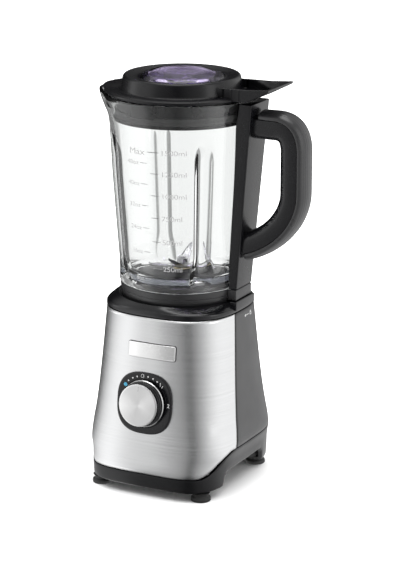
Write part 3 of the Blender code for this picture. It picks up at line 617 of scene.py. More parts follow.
# ---------------------------------------------------------------------------------------------
# Shoulder: the glossy black moulding that closes the top of the shell. Its lip stands proud of
# the steel, then it rises to the round well where the jug's collar sits.
gloss_black = moulded_plastic("gloss_black", (0.003, 0.003, 0.004), 0.16, grain=0.04, mottle=0.02)
WELL_RADIUS, WELL_FLOOR, RIM_TOP = 62.3, 187.2, 190.6
SHOULDER = ((180.2, -0.012, 0.7), (180.6, -0.02, 0.2), (181.2, -0.03, 0.0), (183.0, -0.03, 0.0),
            (184.0, -0.025, 0.0), (184.7, 0.0, 0.0), (185.1, 0.04, 0.0), (185.15, 0.075, 0.0),
            (185.5, 0.1, 0.0), (186.4, 0.2, 0.0), (187.5, 0.38, 0.0), (188.5, 0.56, 0.0),
            (189.4, 0.76, 0.0), (190.1, 0.9, 0.0), (190.5, 0.97, 0.0), (190.6, 1.0, 0.0))


def ring_at(height, inset=0.0):
    """The shell's outline at one height."""
    return [base_point(2 * pi * i / 192, height, inset) for i in range(192)]


def circle(radius, height):
    """A level circle about the jug's axis."""
    return [Vector((x, y, height)) for x, y in disc(0, 0, radius, 192)]


shoulder_rings = []
for height, share, inset in SHOULDER:
    shell_edge, well_edge = ring_at(SHELL_TOP, inset), circle(WELL_RADIUS + 1.4, height)
    mixed = [start.lerp(end, share) for start, end in zip(shell_edge, well_edge)]
    shoulder_rings.append([Vector((point.x, point.y, height)) for point in mixed])
shoulder_rings += [circle(WELL_RADIUS + 0.3, RIM_TOP), circle(WELL_RADIUS, RIM_TOP - 0.3),
                   circle(WELL_RADIUS, WELL_FLOOR), circle(22, WELL_FLOOR), circle(22, WELL_FLOOR - 2.4),
                   circle(59, WELL_FLOOR - 2.6), ring_at(SHELL_TOP, 3.0)]
shoulder = lofted("shoulder", shoulder_rings, closed=True, smooth=50)
PIN_SPOT, PIN_CLEARANCE = (-54.3, 19.8), 2.7
interlock_hole = disc(*PIN_SPOT, PIN_CLEARANCE, 32)
cut(shoulder, prism("interlock_hole", interlock_hole, "z", WELL_FLOOR - 6, WELL_FLOOR + 2))


def joined(name, *parts):
    """Make one piece of several that are moulded together."""
    made = parts[0]
    with bpy.context.temp_override(active_object=made, selected_editable_objects=list(parts)):
        bpy.ops.object.join()
    made.name = name
    return made


def block(name, low, high, edge):
    """A moulded block between two corners, with rounded edges."""
    bm = bmesh.new()
    bmesh.ops.create_cube(bm, size=1.0)
    low, high = Vector(low), Vector(high)
    bmesh.ops.scale(bm, vec=high - low, verts=bm.verts)
    bmesh.ops.translate(bm, vec=(low + high) / 2, verts=bm.verts)
    bmesh.ops.bevel(bm, geom=bm.edges[:], offset=edge, segments=3, profile=0.6, affect='EDGES')
    return as_piece(name, bm, 60)


step = block("handle_step", (WELL_RADIUS + 0.4, -20, 183), (70.2, 20, 191.6), 0.8)
dressed(joined("shoulder", shoulder, step), gloss_black, "motor_base", "top_cover", slot="gloss_black")

# ---------------------------------------------------------------------------------------------
# Lock marks: a small arrow and a padlock outline, printed in pale grey near the top of the side
# cover, which show the way to turn the jug to lock it.
pale_print = moulded_plastic("pale_print", (0.62, 0.62, 0.62), 0.5, grain=0.0)
MARKS_START, MARKS_BEND, MARKS_HEIGHT = radians(4), 70.0, 172.5


def flat_mark(bm, outline, place, thick=0.08):
    """Add one printed mark: an outline laid on a curved face by place(across, up, out)."""
    back = [bm.verts.new(place(a, b, 0.01)) for a, b in outline]
    front = [bm.verts.new(place(a, b, 0.01 + thick)) for a, b in outline]
    bm.faces.new(front)
    bm.faces.new(back[::-1])
    walls(bm, back, front)


def stroke(points, half):
    """A line of even width through some points, as outlines of its straight parts."""
    parts = []
    for (x0, y0), (x1, y1) in zip(points, points[1:]):
        length = hypot(x1 - x0, y1 - y0)
        dx, dy = (x1 - x0) / length * half, (y1 - y0) / length * half
        parts.append([(x0 - dx * 0.5 - dy, y0 - dy * 0.5 + dx), (x1 + dx * 0.5 - dy, y1 + dy * 0.5 + dx),
                      (x1 + dx * 0.5 + dy, y1 + dy * 0.5 - dx), (x0 - dx * 0.5 + dy, y0 - dy * 0.5 - dx)])
    return parts


def on_cover(across, up, out):
    """A place on the right side cover, by distance along its face."""
    angle = MARKS_START + across / MARKS_BEND
    outside = base_point(angle, MARKS_HEIGHT + up)
    return outside + Vector((out, 0, 0))


bm = bmesh.new()
LOCK_MARKS = ([(0, 0), (9, 0)], [(0, 0), (1.8, 1.3)], [(0, 0), (1.8, -1.3)],
              [(12, -1.6), (15, -1.6), (15, 0.6), (12, 0.6), (12, -1.6)],
              [(12.6, 0.6), (12.6, 2.0), (14.4, 2.0), (14.4, 0.6)])
for line in LOCK_MARKS:
    for part in stroke(line, 0.28):
        flat_mark(bm, part, on_cover)
dressed(as_piece("lock_marks", bm), pale_print, "motor_base", slot="spun_aluminium")

# ---------------------------------------------------------------------------------------------
# Badge: a thin stamped aluminium plate with round corners and a fine raised rim, bent to the
# steel and glued on, over a slightly larger dark sheet that shows as a painted shadow line round it. Its
# face is blank.
BADGE_WIDTH, BADGE_HEIGHT, BADGE_X, BADGE_Z = 51.2, 15.0, 4.5, 147.0


def satin_metal(name, colour, roughness, scale=60.0):
    """Fine satin metal with a soft cloudy sheen."""
    material, tree, shader, where = new_finish(name, 1.0)
    clouds = cloudy(tree, where, scale, 5.0)
    uneven_gloss(tree, shader, clouds, roughness - 0.05, roughness + 0.08)
    two_tone(tree, shader, clouds, *shades(colour, 0.9, 1.08))
    return material


badge_metal = satin_metal("badge_metal", (0.88, 0.88, 0.88), 0.24, 900.0)


def on_steel(across, up, out):
    """A place on the front of the shell, by distance from the badge's middle."""
    height = BADGE_Z + up
    half, deep = along(HALF_WIDTH, height), along(HALF_DEPTH, height)
    power = along(SQUARENESS, height)
    x = BADGE_X + across
    y = BASE_MIDDLE_Y - deep * (1 - (abs(x) / half) ** power) ** (1 / power)
    return Vector((x, y - out, height))


def badge_outline(inset, steps=8, corner=1.9, cuts=12):
    """Round-cornered rectangle, cut along its long sides so that it can follow the steel."""
    w, h, r = BADGE_WIDTH / 2 - inset, BADGE_HEIGHT / 2 - inset, max(corner - inset, 0.3)
    outline = []
    for sx, sy, start in ((1, 1, 0), (-1, 1, 90), (-1, -1, 180), (1, -1, 270)):
        for i in range(steps + 1):
            angle = radians(start + 90 * i / steps)
            outline.append((sx * (w - r) + r * cos(angle), sy * (h - r) + r * sin(angle)))
        if start in (0, 180):
            outline += [(sx * (w - r) * (1 - 2 * k / cuts), sy * h) for k in range(1, cuts)]
    return outline


def badge_layer(name, steps):
    """A thin bent plate, from (inset, height above the steel) steps out to its face."""
    bm = bmesh.new()
    loops = [[bm.verts.new(on_steel(a, b, out)) for a, b in badge_outline(inset)] for inset, out in steps]
    for one, two in zip(loops, loops[1:]):
        walls(bm, one, two)
    for loop in (loops[0], loops[-1]):
        last = len(loop) - 1
        for i in range(last // 2):
            bm.faces.new((loop[i], loop[i + 1], loop[last - 1 - i], loop[last - i]))
    return as_piece(name, bm, 30)


badge = badge_layer("badge", ((0.1, 0.3), (0.1, 1.2), (0.35, 1.5), (0.8, 1.5), (1.0, 1.3)))
dressed(badge, badge_metal, "motor_base", "badge_plate", slot="spun_aluminium")
# A dark sheet a little larger than the badge, just off the steel: a painted shadow line round the badge's
# edge.
badge_painted_shadow = badge_layer("badge_painted_shadow", ((-0.45, 0.02), (-0.45, 0.45), (0.4, 0.45)))
dressed(badge_painted_shadow, satin_black, "motor_base", slot="black_plastic")

# ---------------------------------------------------------------------------------------------
# Dial plate: a glossy black plate with very round corners, let into the steel and slightly dished
# round the knob. Printed on it are a blue start point, dots, an off ring and two numbers.
PLATE_STEPS = ((-2.6, -4.6), (-1.6, -4.6), (-1.6, 0.0), (1.1, 0.0), (1.55, -0.15), (1.8, -0.6), (1.8, -1.6))
PLATE_RINGS = ((24.6, 1.7), (24.0, 1.1), (4.0, 1.1), (4.0, -2.6))
plate_rings = [plate_edge(depth, grow) for depth, grow in PLATE_STEPS]
plate_rings += [[(x, y, depth) for x, y in disc(0, 0, radius, 128)] for radius, depth in PLATE_RINGS]
dial_plate = on_control(lofted("dial_plate_black", plate_rings, closed=True, smooth=35))
dressed(dial_plate, gloss_black, "motor_base", "dial_plate", slot="gloss_black")

MARK_RADIUS, PLATE_FACE = 27.1, 1.76


def on_plate(across, up, out):
    """A place on the dial plate's face."""
    return Vector((across, up, PLATE_FACE + out))


def around(degrees_right, radius=MARK_RADIUS):
    """A place round the knob, by its angle to the right of the top."""
    return radius * sin(radians(degrees_right)), radius * cos(radians(degrees_right))


SPEED_DOTS = ((-42, 0.78), (-30, 0.78), (-19, 0.82), (7, 0.78), (19, 0.82), (30, 0.78))
OFF_RING_AT, FIGURE_ONE_AT, PULSE_SIGN_AT, FIGURE_TWO_AT, START_AT = -6, 39, 45.5, 87, -53
bm = bmesh.new()
for turn_to, size in SPEED_DOTS:
    flat_mark(bm, disc(*around(turn_to), size), on_plate)
ring_x, ring_y = around(OFF_RING_AT)
turns = [2 * pi * i / 20 for i in range(21)]
for part in stroke([(ring_x + 1.55 * cos(a), ring_y + 1.55 * sin(a)) for a in turns], 0.3):
    flat_mark(bm, part, on_plate)
one_x, one_y = around(FIGURE_ONE_AT)
two_x, two_y = around(FIGURE_TWO_AT)
pulse_x, pulse_y = around(PULSE_SIGN_AT)
for line in ([(one_x - 0.5, one_y + 0.9), (one_x + 0.2, one_y + 1.6), (one_x + 0.2, one_y - 1.6)],
             [(pulse_x - 0.7, pulse_y - 1.0), (pulse_x + 0.7, pulse_y + 1.0)],
             [(two_x - 0.9, two_y + 1.1), (two_x - 0.2, two_y + 1.6), (two_x + 0.7, two_y + 1.2),
              (two_x + 0.7, two_y + 0.4), (two_x - 0.9, two_y - 1.6), (two_x + 1.0, two_y - 1.6)]):
    for part in stroke(line, 0.3):
        flat_mark(bm, part, on_plate)
marks = on_control(as_piece("dial_marks", bm))
dressed(marks, pale_print, "motor_base", slot="spun_aluminium")

blue_print = moulded_plastic("blue_print", (0.05, 0.36, 0.55), 0.4, grain=0.0)
bm = bmesh.new()
flat_mark(bm, disc(*around(START_AT, 26.6), 1.95), on_plate)
blue_point = on_control(as_piece("start_point", bm))
dressed(blue_point, blue_print, "motor_base", slot="circuit_board")

# ---------------------------------------------------------------------------------------------
# Knob: a black skirted body with a bright ring let into the skirt, and a spun aluminium cap
# with a fine bevel and a pointer line at the top. It pushes onto the switch's shaft.
knob_black = moulded_plastic("knob_black", (0.01, 0.01, 0.011), 0.2, grain=0.1)
KNOB_OUTLINE = ((0, 12.6, 0), (20.1, 12.6, 0.4), (20.2, 9.2, 0.2), (19.8, 8.9, 0.1), (19.8, 8.4, 0.1),
                (20.3, 8.1, 0.2), (20.5, 5.6, 0.8), (22.4, 4.9, 0.6), (23.1, 4.0, 0.5), (23.1, 2.2, 0.2),
                (19.2, 2.2, 0), (18.9, 10.3, 0), (6.5, 10.3, 0), (6.5, 2.4, 0), (3.4, 2.4, 0),
                (3.4, 10.3, 0), (0, 10.3, 0))
knob = on_control(turned("knob_skirt", rounded(KNOB_OUTLINE), steps=128, smooth=50))
dressed(knob, knob_black, "knob", "knob_body", slot="gloss_black")

RING_OUTLINE = ((22.35, 4.95, 0), (23.05, 4.2, 0), (23.2, 4.4, 0.05), (22.55, 5.15, 0.05))
knob_ring = on_control(turned("knob_ring", rounded(RING_OUTLINE), steps=128))
bright_metal = satin_metal("bright_metal", (0.8, 0.8, 0.8), 0.2)
dressed(knob_ring, bright_metal, "knob", slot="spun_aluminium")


def spun_metal(name, colour, roughness, turns_per_metre, anisotropy):
    """Metal turned on a lathe: fine rings about the piece's own upright axis."""
    material, tree, shader, where = new_finish(name, 1.0)
    shader.inputs["Base Color"].default_value = (*colour, 1.0)
    parts = tree.nodes.new("ShaderNodeSeparateXYZ")
    tree.links.new(where, parts.inputs[0])
    flat = tree.nodes.new("ShaderNodeCombineXYZ")
    tree.links.new(parts.outputs["X"], flat.inputs["X"])
    tree.links.new(parts.outputs["Y"], flat.inputs["Y"])
    radius = tree.nodes.new("ShaderNodeVectorMath")
    radius.operation = 'LENGTH'
    tree.links.new(flat.outputs[0], radius.inputs[0])
    rings = tree.nodes.new("ShaderNodeTexNoise")
    rings.noise_dimensions = '1D'
    rings.inputs["Scale"].default_value = turns_per_metre
    rings.inputs["Detail"].default_value = 4.0
    tree.links.new(radius.outputs["Value"], rings.inputs["W"])
    uneven_gloss(tree, shader, rings.outputs["Fac"], roughness - 0.04, roughness + 0.04)
    fine_relief(tree, shader, rings.outputs["Fac"], 0.03, 0.00002)
    lathe_grain(tree, shader, anisotropy)
    return material


spun_aluminium = spun_metal("spun_aluminium", (0.83, 0.83, 0.83), 0.36, 2600.0, 0.95)
CAP_FACE = 15.0
CENTRE_DIMPLE = [(0, CAP_FACE), (0.8, 14.96), (1.6, CAP_FACE)]
CAP_OUTLINE = ((0, CAP_FACE, 0), (19.9, CAP_FACE, 0.15), (20.75, 14.55, 0.1), (20.9, 14.3, 0.1),
               (20.9, 12.95, 0.2), (0, 12.95, 0))
cap_profile = CENTRE_DIMPLE + rounded(CAP_OUTLINE)[1:]
knob_cap = on_control(turned("knob_cap_spun", cap_profile, steps=160, smooth=25))
dressed(knob_cap, spun_aluminium, "knob", "knob_cap", slot="spun_aluminium")


def on_cap(across, up, out):
    """A place on the knob cap's face."""
    return Vector((across, up, CAP_FACE - 0.01 + out * 0.4))


bm = bmesh.new()
flat_mark(bm, [(-0.28, 14.2), (0.28, 14.2), (0.28, 18.9), (-0.28, 18.9)], on_cap)
pointer = on_control(as_piece("pointer_line", bm))
pointer_grey = moulded_plastic("pointer_grey", (0.32, 0.32, 0.32), 0.5, grain=0.0)
dressed(pointer, pointer_grey, "knob", slot="black_plastic")

# ---------------------------------------------------------------------------------------------
# Collar: the black moulding screwed on under the jug. It is a stepped ring outside, a shallow
# domed floor inside the jug round the blades, and a lug under the handle's strap.
collar_black = moulded_plastic("collar_black", (0.016, 0.016, 0.017), 0.32)
COLLAR_OUTLINE = ((59.2, 187.5, 0), (59.8, 190.4, 0.3), (60.7, 195.6, 0.2), (60.4, 195.9, 0.1),
                  (60.45, 196.4, 0.1), (60.9, 196.7, 0.2), (61.2, 200, 0), (61.2, 202.7, 0.7),
                  (43.6, 202.7, 0), (43.6, 207, 0.8), (40, 208.6, 0.6), (13, 210.5, 0.6),
                  (12, 213.2, 0.8), (8.2, 213.2, 0), (8.2, 203.4, 0), (12.2, 203.4, 0),
                  (12.2, 206.8, 0), (38, 204.6, 0), (41, 199.6, 0), (56.4, 199.6, 0), (56.4, 187.5, 0))
collar = turned("collar", rounded(COLLAR_OUTLINE), steps=160, smooth=35)
lug = block("collar_lug", (58.5, -17, 192.1), (68.2, 17, 202.65), 1.0)
dressed(joined("collar", collar, lug), collar_black, "blade_unit", "blade_collar", slot="black_plastic")

seal_rubber = moulded_plastic("seal_rubber", (0.05, 0.05, 0.05), 0.6)
SEAL_OUTLINE = ((44, 203, 0.8), (47.1, 203, 0.8), (47.1, 206.2, 1.2), (44, 206.2, 1.2))
seal = turned("jug_seal", rounded(SEAL_OUTLINE), steps=120)
dressed(seal, seal_rubber, "blade_unit", "seal_ring", slot="rubber")
pale_rubber = moulded_plastic("pale_rubber", (0.30, 0.32, 0.33), 0.55)
GASKET_OUTLINE = ((48.2, 202.72, 0.1), (60.2, 202.72, 0.1), (60.2, 203.2, 0.1), (48.2, 203.2, 0.1))
gasket = turned("foot_gasket", rounded(GASKET_OUTLINE), steps=120)
dressed(gasket, pale_rubber, "blade_unit", slot="rubber")

# ---------------------------------------------------------------------------------------------
# Blades: two stamped stainless strips with ground edges, crossed on the shaft; the tips of the
# lower one droop, the tips of the upper one stand up. A hexagon nut holds them on a brass bush.
blade_steel = satin_metal("blade_steel", (0.76, 0.76, 0.77), 0.2, 400.0)
SHAFT_HOLE = 3.4


def shaft_hole(piece, foot, top):
    """Cut the hole for the shaft through a piece."""
    cut(piece, turned("hole", ((0, foot), (SHAFT_HOLE, foot), (SHAFT_HOLE, top), (0, top)), steps=32))


def stamped_blade(name, foot, rise, turn_by):
    """A two-winged blade with wings bent up or down, swept back and ground thin at the edge."""
    reach, hub, thick = 35.0, 9.0, 1.5
    rings = []
    for i in range(49):
        share = -1 + i / 24
        out = max(abs(share) * reach - hub, 0.0) / (reach - hub)
        side = 1 if share > 0 else -1
        half = (6.0 - 3.4 * out) * (1 - max(0.0, (abs(share) - 0.93) / 0.07) ** 2 * 0.55)
        sweep = -side * 7.0 * out * out
        height = foot + rise * out ** 1.3
        ground = 0.3 + 2.1 * smooth_step(out * 3)
        edge = thick - 0.25 - 0.95 * smooth_step(out * 3)
        plus, minus = (ground, 0.3) if side > 0 else (0.3, ground)
        plus_top, minus_top = (edge, thick - 0.25) if side > 0 else (thick - 0.25, edge)
        x = share * reach
        section = ((-half, 0.15), (-half + minus, 0.0), (half - plus, 0.0), (half, 0.15),
                   (half, plus_top), (half - plus, thick), (-half + minus, thick), (-half, minus_top))
        rings.append([(x, sweep + a, height + b) for a, b in section])
    made = lofted(name, rings, smooth=22)
    shaft_hole(made, 210, 240)
    made.rotation_euler.z = radians(turn_by)
    bpy.context.view_layer.update()
    return made


for place, foot, rise, turn_by in (("lower", 216.4, -1.5, 20), ("upper", 218.3, 13.0, 110)):
    blade = stamped_blade(f"{place}_blade", foot, rise, turn_by)
    dressed(blade, blade_steel, "blades", f"blade_{place}", slot="blade_steel")

hexagon = disc(0, 0, 6.3, 6)
nut = soft_edges(prism("hexagon_nut", hexagon, "z", 220.3, 225.0), 0.5)
shaft_hole(nut, 215, 230)
dressed(nut, blade_steel, "blades", "blade_nut", slot="blade_steel")
brass = satin_metal("turned_brass", (0.46, 0.40, 0.28), 0.3)
BUSH_OUTLINE = ((4.4, 203.2, 0), (7.9, 203.2, 0.3), (7.9, 213.5, 0), (9.2, 213.6, 0.3), (8.6, 215.4, 0.4),
                (4.4, 215.4, 0))
bush = turned("shaft_bush", rounded(BUSH_OUTLINE), steps=64)
dressed(bush, brass, "blade_unit", "blade_bush", slot="brass")

# ---------------------------------------------------------------------------------------------
# Jug: thick pressed glass. It is clear, heavier in the foot, with four inward ribs that widen at
# the foot and end in a point near the top, an eased rim, and a lip opposite the handle.
JUG_OUTSIDE = ((203.3, 61.3), (204.2, 61.9), (218, 61.9), (245, 63.6), (272, 65.5), (318, 68.6), (345, 69.9),
               (368, 70.9), (374, 72.4), (382, 73.5), (388.6, 74.3), (389.8, 74.0), (390.2, 73.2))
JUG_INSIDE = ((390.2, 71.0), (389.6, 70.4), (382, 69.0), (370, 66.8), (345, 65.5), (300, 62.9),
              (250, 59.4), (226, 57.8), (219, 56.6), (214, 54.0), (211, 50.0), (209, 48.6),
              (204, 47.9), (203.3, 48.3))
RIB_DEPTH, RIB_TOP, RIB_POINT, RIB_HALF = 5.0, 358.0, 26, radians(8.2)
RIB_FOOT, RIB_WIDENS_FROM, RIB_WIDENS_BY = 206.5, 238, 0.45
RIB_PLACES = radians(43), radians(137)
SPOUT_REACH, SPOUT_SPREAD, SPOUT_FOOT, SPOUT_HEIGHT = 14.0, 0.36, 352, 36


def spout(angle, height, reach):
    """How far the pouring lip at -x pulls the rim out at one angle and height."""
    off = abs(abs(angle) - pi)
    return reach * exp(-(off / SPOUT_SPREAD) ** 2) * smooth_step((height - SPOUT_FOOT) / SPOUT_HEIGHT)


def rib(angle, height):
    """How far a rib stands in from the wall: round, a point at the top and wider at the foot."""
    off = min(abs(abs(angle) - place) for place in RIB_PLACES)
    down = (RIB_TOP - height) / RIB_POINT
    if down <= 0:
        return 0.0
    half = RIB_HALF * min(1.0, sqrt(min(down, 1.0) * (2 - min(down, 1.0))))
    half *= 1 + RIB_WIDENS_BY * smooth_step((RIB_WIDENS_FROM - height) / 22)
    if off >= half:
        return 0.0
    round_top = (1 - (off / half) ** 2) ** 0.75
    return RIB_DEPTH * round_top * smooth_step(down) * smooth_step((height - RIB_FOOT) / 5)


def densely(table, step):
    """The heights of a table with more between them."""
    heights = []
    for (one, _), (two, _) in zip(table, table[1:]):
        count = max(1, round(abs(two - one) / step))
        heights += [one + (two - one) * k / count for k in range(count)]
    return heights + [table[-1][0]]


def signed_angles(steps):
    """Even steps round the axis, as angles from -pi to pi."""
    angles = [2 * pi * i / steps for i in range(steps)]
    return [angle - 2 * pi if angle > pi else angle for angle in angles]


inside_upward = sorted(JUG_INSIDE)
rows = [(along(JUG_OUTSIDE, height), height, False) for height in densely(JUG_OUTSIDE, 3.5)]
rows += [(along(inside_upward, height), height, True) for height in densely(JUG_INSIDE, 3.0)]
jug_rings = []
for radius, height, inside in rows:
    ring = []
    for angle in signed_angles(320):
        reach = radius + spout(angle, height, SPOUT_REACH) - (rib(angle, height) if inside else 0.0)
        ring.append((reach * cos(angle), reach * sin(angle), height))
    jug_rings.append(ring)
jug = lofted("jug_glass", jug_rings, closed=True, smooth=60)

clear_glass, glass_tree, glass_shader, glass_place = new_finish("clear_glass")
glass_shader.inputs["Transmission Weight"].default_value = 1.0
glass_shader.inputs["IOR"].default_value = 1.5
glass_shader.inputs["Base Color"].default_value = (0.985, 0.995, 0.99, 1.0)
glass_waves = cloudy(glass_tree, glass_place, 22.0, 1.0)
uneven_gloss(glass_tree, glass_shader, glass_waves, 0.0, 0.03)
fine_relief(glass_tree, glass_shader, glass_waves, 0.12, 0.001)


def lets_light_through(material, tint):
    """Let shadow rays pass a clear material with a tint, so that what is inside is lit."""
    tree = material.node_tree
    passing = tree.nodes.new("ShaderNodeBsdfTransparent")
    passing.inputs["Color"].default_value = (*tint, 1.0)
    clear = tree.nodes["Principled BSDF"].outputs[0]
    seen = either(tree, seen_by(tree, "Is Shadow Ray"), clear, passing.outputs[0])
    tree.links.new(seen, tree.nodes["Material Output"].inputs["Surface"])


lets_light_through(clear_glass, (0.93, 0.94, 0.94))
dressed(jug, clear_glass, "jug", "glass_jug", slot="glass")

# ---------------------------------------------------------------------------------------------
# Scale: millilitre and ounce marks printed in pale grey on the front of the glass, on its
# outside: numbers on both sides of short lines.
glass_print = moulded_plastic("glass_print", (0.35, 0.35, 0.35), 0.5, grain=0.0)
SCALE_MIDDLE, SCALE_BEND = radians(-90 + 6.0), 67.0
WIDE_LETTERS, INK_HEIGHT = 1.2, 0.12
LITRES = (("1500", 344.2), ("1250", 323.2), ("1000", 301.4), ("750", 279.0), ("500", 255.1), ("250", 227.9))
OUNCES = (("48", 333.0), ("40", 312.2), ("32", 290.6), ("24", 268.0), ("16", 243.8), ("8", 216.6))


def on_glass(across, up, out):
    """A place on the jug's outside, by distance to the right of the scale's middle and height."""
    angle = SCALE_MIDDLE + across / SCALE_BEND
    reach = along(JUG_OUTSIDE, up) + out
    return Vector((reach * cos(angle), reach * sin(angle), up))


def words(text, size):
    """Outlines of a printed word as triangles, with its left end and foot at zero."""
    curve = bpy.data.curves.new("word", 'FONT')
    curve.body = text
    curve.size = size
    letters = bpy.data.objects.new("word", curve)
    bpy.context.collection.objects.link(letters)
    bpy.context.view_layer.update()
    mesh = bpy.data.meshes.new_from_object(letters.evaluated_get(bpy.context.evaluated_depsgraph_get()))
    bpy.data.objects.remove(letters, do_unlink=True)
    points = [(vertex.co.x, vertex.co.y) for vertex in mesh.vertices]
    faces = [tuple(polygon.vertices) for polygon in mesh.polygons]
    return points, faces


def print_word(bm, text, size, across, up, place, ends_there=False):
    """Print a word on a curved face."""
    points, faces = words(text, size)
    width = max(x for x, _ in points)
    start = across - width * WIDE_LETTERS if ends_there else across
    dots = [bm.verts.new(place(start + x * WIDE_LETTERS, up + y, INK_HEIGHT)) for x, y in points]
    for face in faces:
        if len(set(face)) > 2:
            bm.faces.new([dots[k] for k in face])


LITRES_LEFT, OUNCES_RIGHT, MAX_RIGHT, MAX_FOOT = 5.5, -17.0, -10.0, 341.0
LITRE_LINE, TOP_LINE, OUNCE_LINE = (-5.0, 4.0), (-7.5, 4.0), (-15.5, -8.0)
bm = bmesh.new()
for text, height in LITRES:
    print_word(bm, text + "ml", 7.0, LITRES_LEFT, height - 2.4, on_glass)
    left, right = TOP_LINE if text == "1500" else LITRE_LINE
    for part in stroke([(left, height), (right, height)], 0.3):
        flat_mark(bm, part, on_glass)
print_word(bm, "Max", 8.6, MAX_RIGHT, MAX_FOOT, on_glass, ends_there=True)
for text, height in OUNCES:
    print_word(bm, text + "oz", 6.0, OUNCES_RIGHT, height - 2.2, on_glass, ends_there=True)
    left, right = OUNCE_LINE
    for part in stroke([(left, height), (right, height)], 0.28):
        flat_mark(bm, part, on_glass)
dressed(as_piece("jug_scale", bm), glass_print, "jug", slot="glass")

# ---------------------------------------------------------------------------------------------
# Handle: one black moulding. A strap follows the glass from the collar to the rim, and a loop
# grows out of it with flat sides and a rounded inside for the fingers.
handle_black = moulded_plastic("handle_black", (0.004, 0.004, 0.005), 0.24, grain=0.1, shine=0.42)
STRAP_FOOT, STRAP_TOP = 203.3, 388.0
# half width and outer face: the size at the foot, and how much it grows to the top
STRAP_HALF, STRAP_OUTSIDE = (16.8, 3.2), (68.5, 16.6)
STRAP_CORNER = 1.3


def strap_ring(height, inset=0.0):
    """The strap's section at one height: hollow against the glass, rounded outside."""
    share = (height - STRAP_FOOT) / (STRAP_TOP - STRAP_FOOT)
    half = STRAP_HALF[0] + STRAP_HALF[1] * share - inset
    outside = STRAP_OUTSIDE[0] + STRAP_OUTSIDE[1] * share - inset
    against = along(JUG_OUTSIDE, min(max(height, 204.2), 388.6)) + 0.5
    inner = [(sqrt(against ** 2 - y ** 2) + (0.25 if abs(k) == 6 else 0.0), y, height)
             for k, y in ((k, half * k / 6) for k in range(-6, 7))]
    side, face = half - STRAP_CORNER, outside - STRAP_CORNER
    bends = [pi / 2 * i / 5 for i in range(6)]
    near = [(face + STRAP_CORNER * sin(a), side + STRAP_CORNER * cos(a), height) for a in bends]
    far = [(face + STRAP_CORNER * cos(a), -side - STRAP_CORNER * sin(a), height) for a in bends]
    return inner + near + far


strap_heights = [STRAP_FOOT + (STRAP_TOP - STRAP_FOOT) * i / 48 for i in range(49)]
strap_rings = [strap_ring(STRAP_FOOT, 0.5), strap_ring(STRAP_FOOT + 0.4)]
strap_rings += [strap_ring(z) for z in strap_heights[1:-1]]
strap_rings += [strap_ring(STRAP_TOP - 0.4), strap_ring(STRAP_TOP, 0.5)]
strap = lofted("strap", strap_rings, smooth=38)

GRIP_LINE = (((77, 367.4), (98, 367.4), (95, 367.4), (104, 367.4), 5),
             ((104, 367.4), (118, 367.4), (123.8, 358), (123.8, 343), 22),
             ((123.8, 343), (123.8, 330), (123.8, 315), (123.8, 303), 10),
             ((123.8, 303), (123.8, 280), (104, 254), (71.5, 244.6), 30))


def grip_line():
    """Middle line of the grip in x and z, from the top of the strap round to its lower end."""
    line = []
    for start, leave, arrive, end, count in GRIP_LINE:
        bend = interpolate_bezier(*(Vector((x, 0, z)) for x, z in (start, leave, arrive, end)), count)
        line += [Vector(point) for point in (bend if not line else bend[1:])]
    return line


def swept(name, line, section, smooth=35, taper=0.0, core=10):
    """Carry a section of (outward, sideways) points along a line, drawn in to its core at the ends."""
    rings = []
    last = len(line) - 1
    for i, point in enumerate(line):
        before, after = line[max(i - 1, 0)], line[min(i + 1, last)]
        ahead = (after - before).normalized()
        outward = Vector((-ahead.z, 0, ahead.x))
        close = min(i, last - i)
        narrow = 1.0 - (taper * (1 - close / 3) ** 2 if close < 3 else 0.0)
        rings.append([point + outward * (core + (out - core) * narrow if taper else out)
                      + Vector((0, side * narrow, 0)) for out, side in section])
    return lofted(name, rings, smooth=smooth)


def arc(middle, radius, start, end, steps=6):
    """Points along a round corner, with its angles in degrees."""
    cx, cy = middle
    return [(cx + radius * cos(radians(start + (end - start) * i / steps)),
             cy + radius * sin(radians(start + (end - start) * i / steps))) for i in range(steps + 1)]


core_section = (arc((5.0, 12.2), 1.0, 0, 90, 3) + arc((-5.6, 5.0), 8.2, 90, 180, 9)
                + arc((-5.6, -5.0), 8.2, 180, 270, 9) + arc((5.0, -12.2), 1.0, 270, 360, 3))
grip = swept("grip_core", grip_line(), core_section)
dressed(joined("handle", strap, grip), handle_black, "jug", "handle_body", slot="black_plastic")

# ---------------------------------------------------------------------------------------------
# Grip cover: a charcoal shell pressed over the outside of the loop, clear of the strap at both
# ends, with fine moulded lines along its length.
COVER_JOINT, COVER_HALF, COVER_BULGE, COVER_SWEEP, GROOVE = 6.3, 13.3, 7.6, 78, 0.16
free_line = [point for point in grip_line() if point.x > 84 + (point.z - 367) * 0.1 - 3 * (point.z < 300)]
outside_curve = []
for i in range(45):
    angle = radians(-COVER_SWEEP + 2 * COVER_SWEEP * i / 44)
    groove = GROOVE * (0.5 + 0.5 * cos(2 * pi * (i % 4) / 4)) if 6 <= i <= 38 else 0.0
    outside_curve.append((COVER_JOINT + (COVER_BULGE - groove) * cos(angle) ** 0.8,
                          (COVER_HALF - groove) * sin(angle) / sin(radians(COVER_SWEEP))))
cover_section = [(COVER_JOINT, 13.0)] + outside_curve[::-1] + [(COVER_JOINT, -13.0)]
grip_cover = swept("grip_cover", free_line, cover_section, smooth=60, taper=0.06)
cover_grey = moulded_plastic("grip_charcoal", (0.022, 0.022, 0.023), 0.3)
dressed(grip_cover, cover_grey, "jug", "handle_cover", slot="grey_plastic")

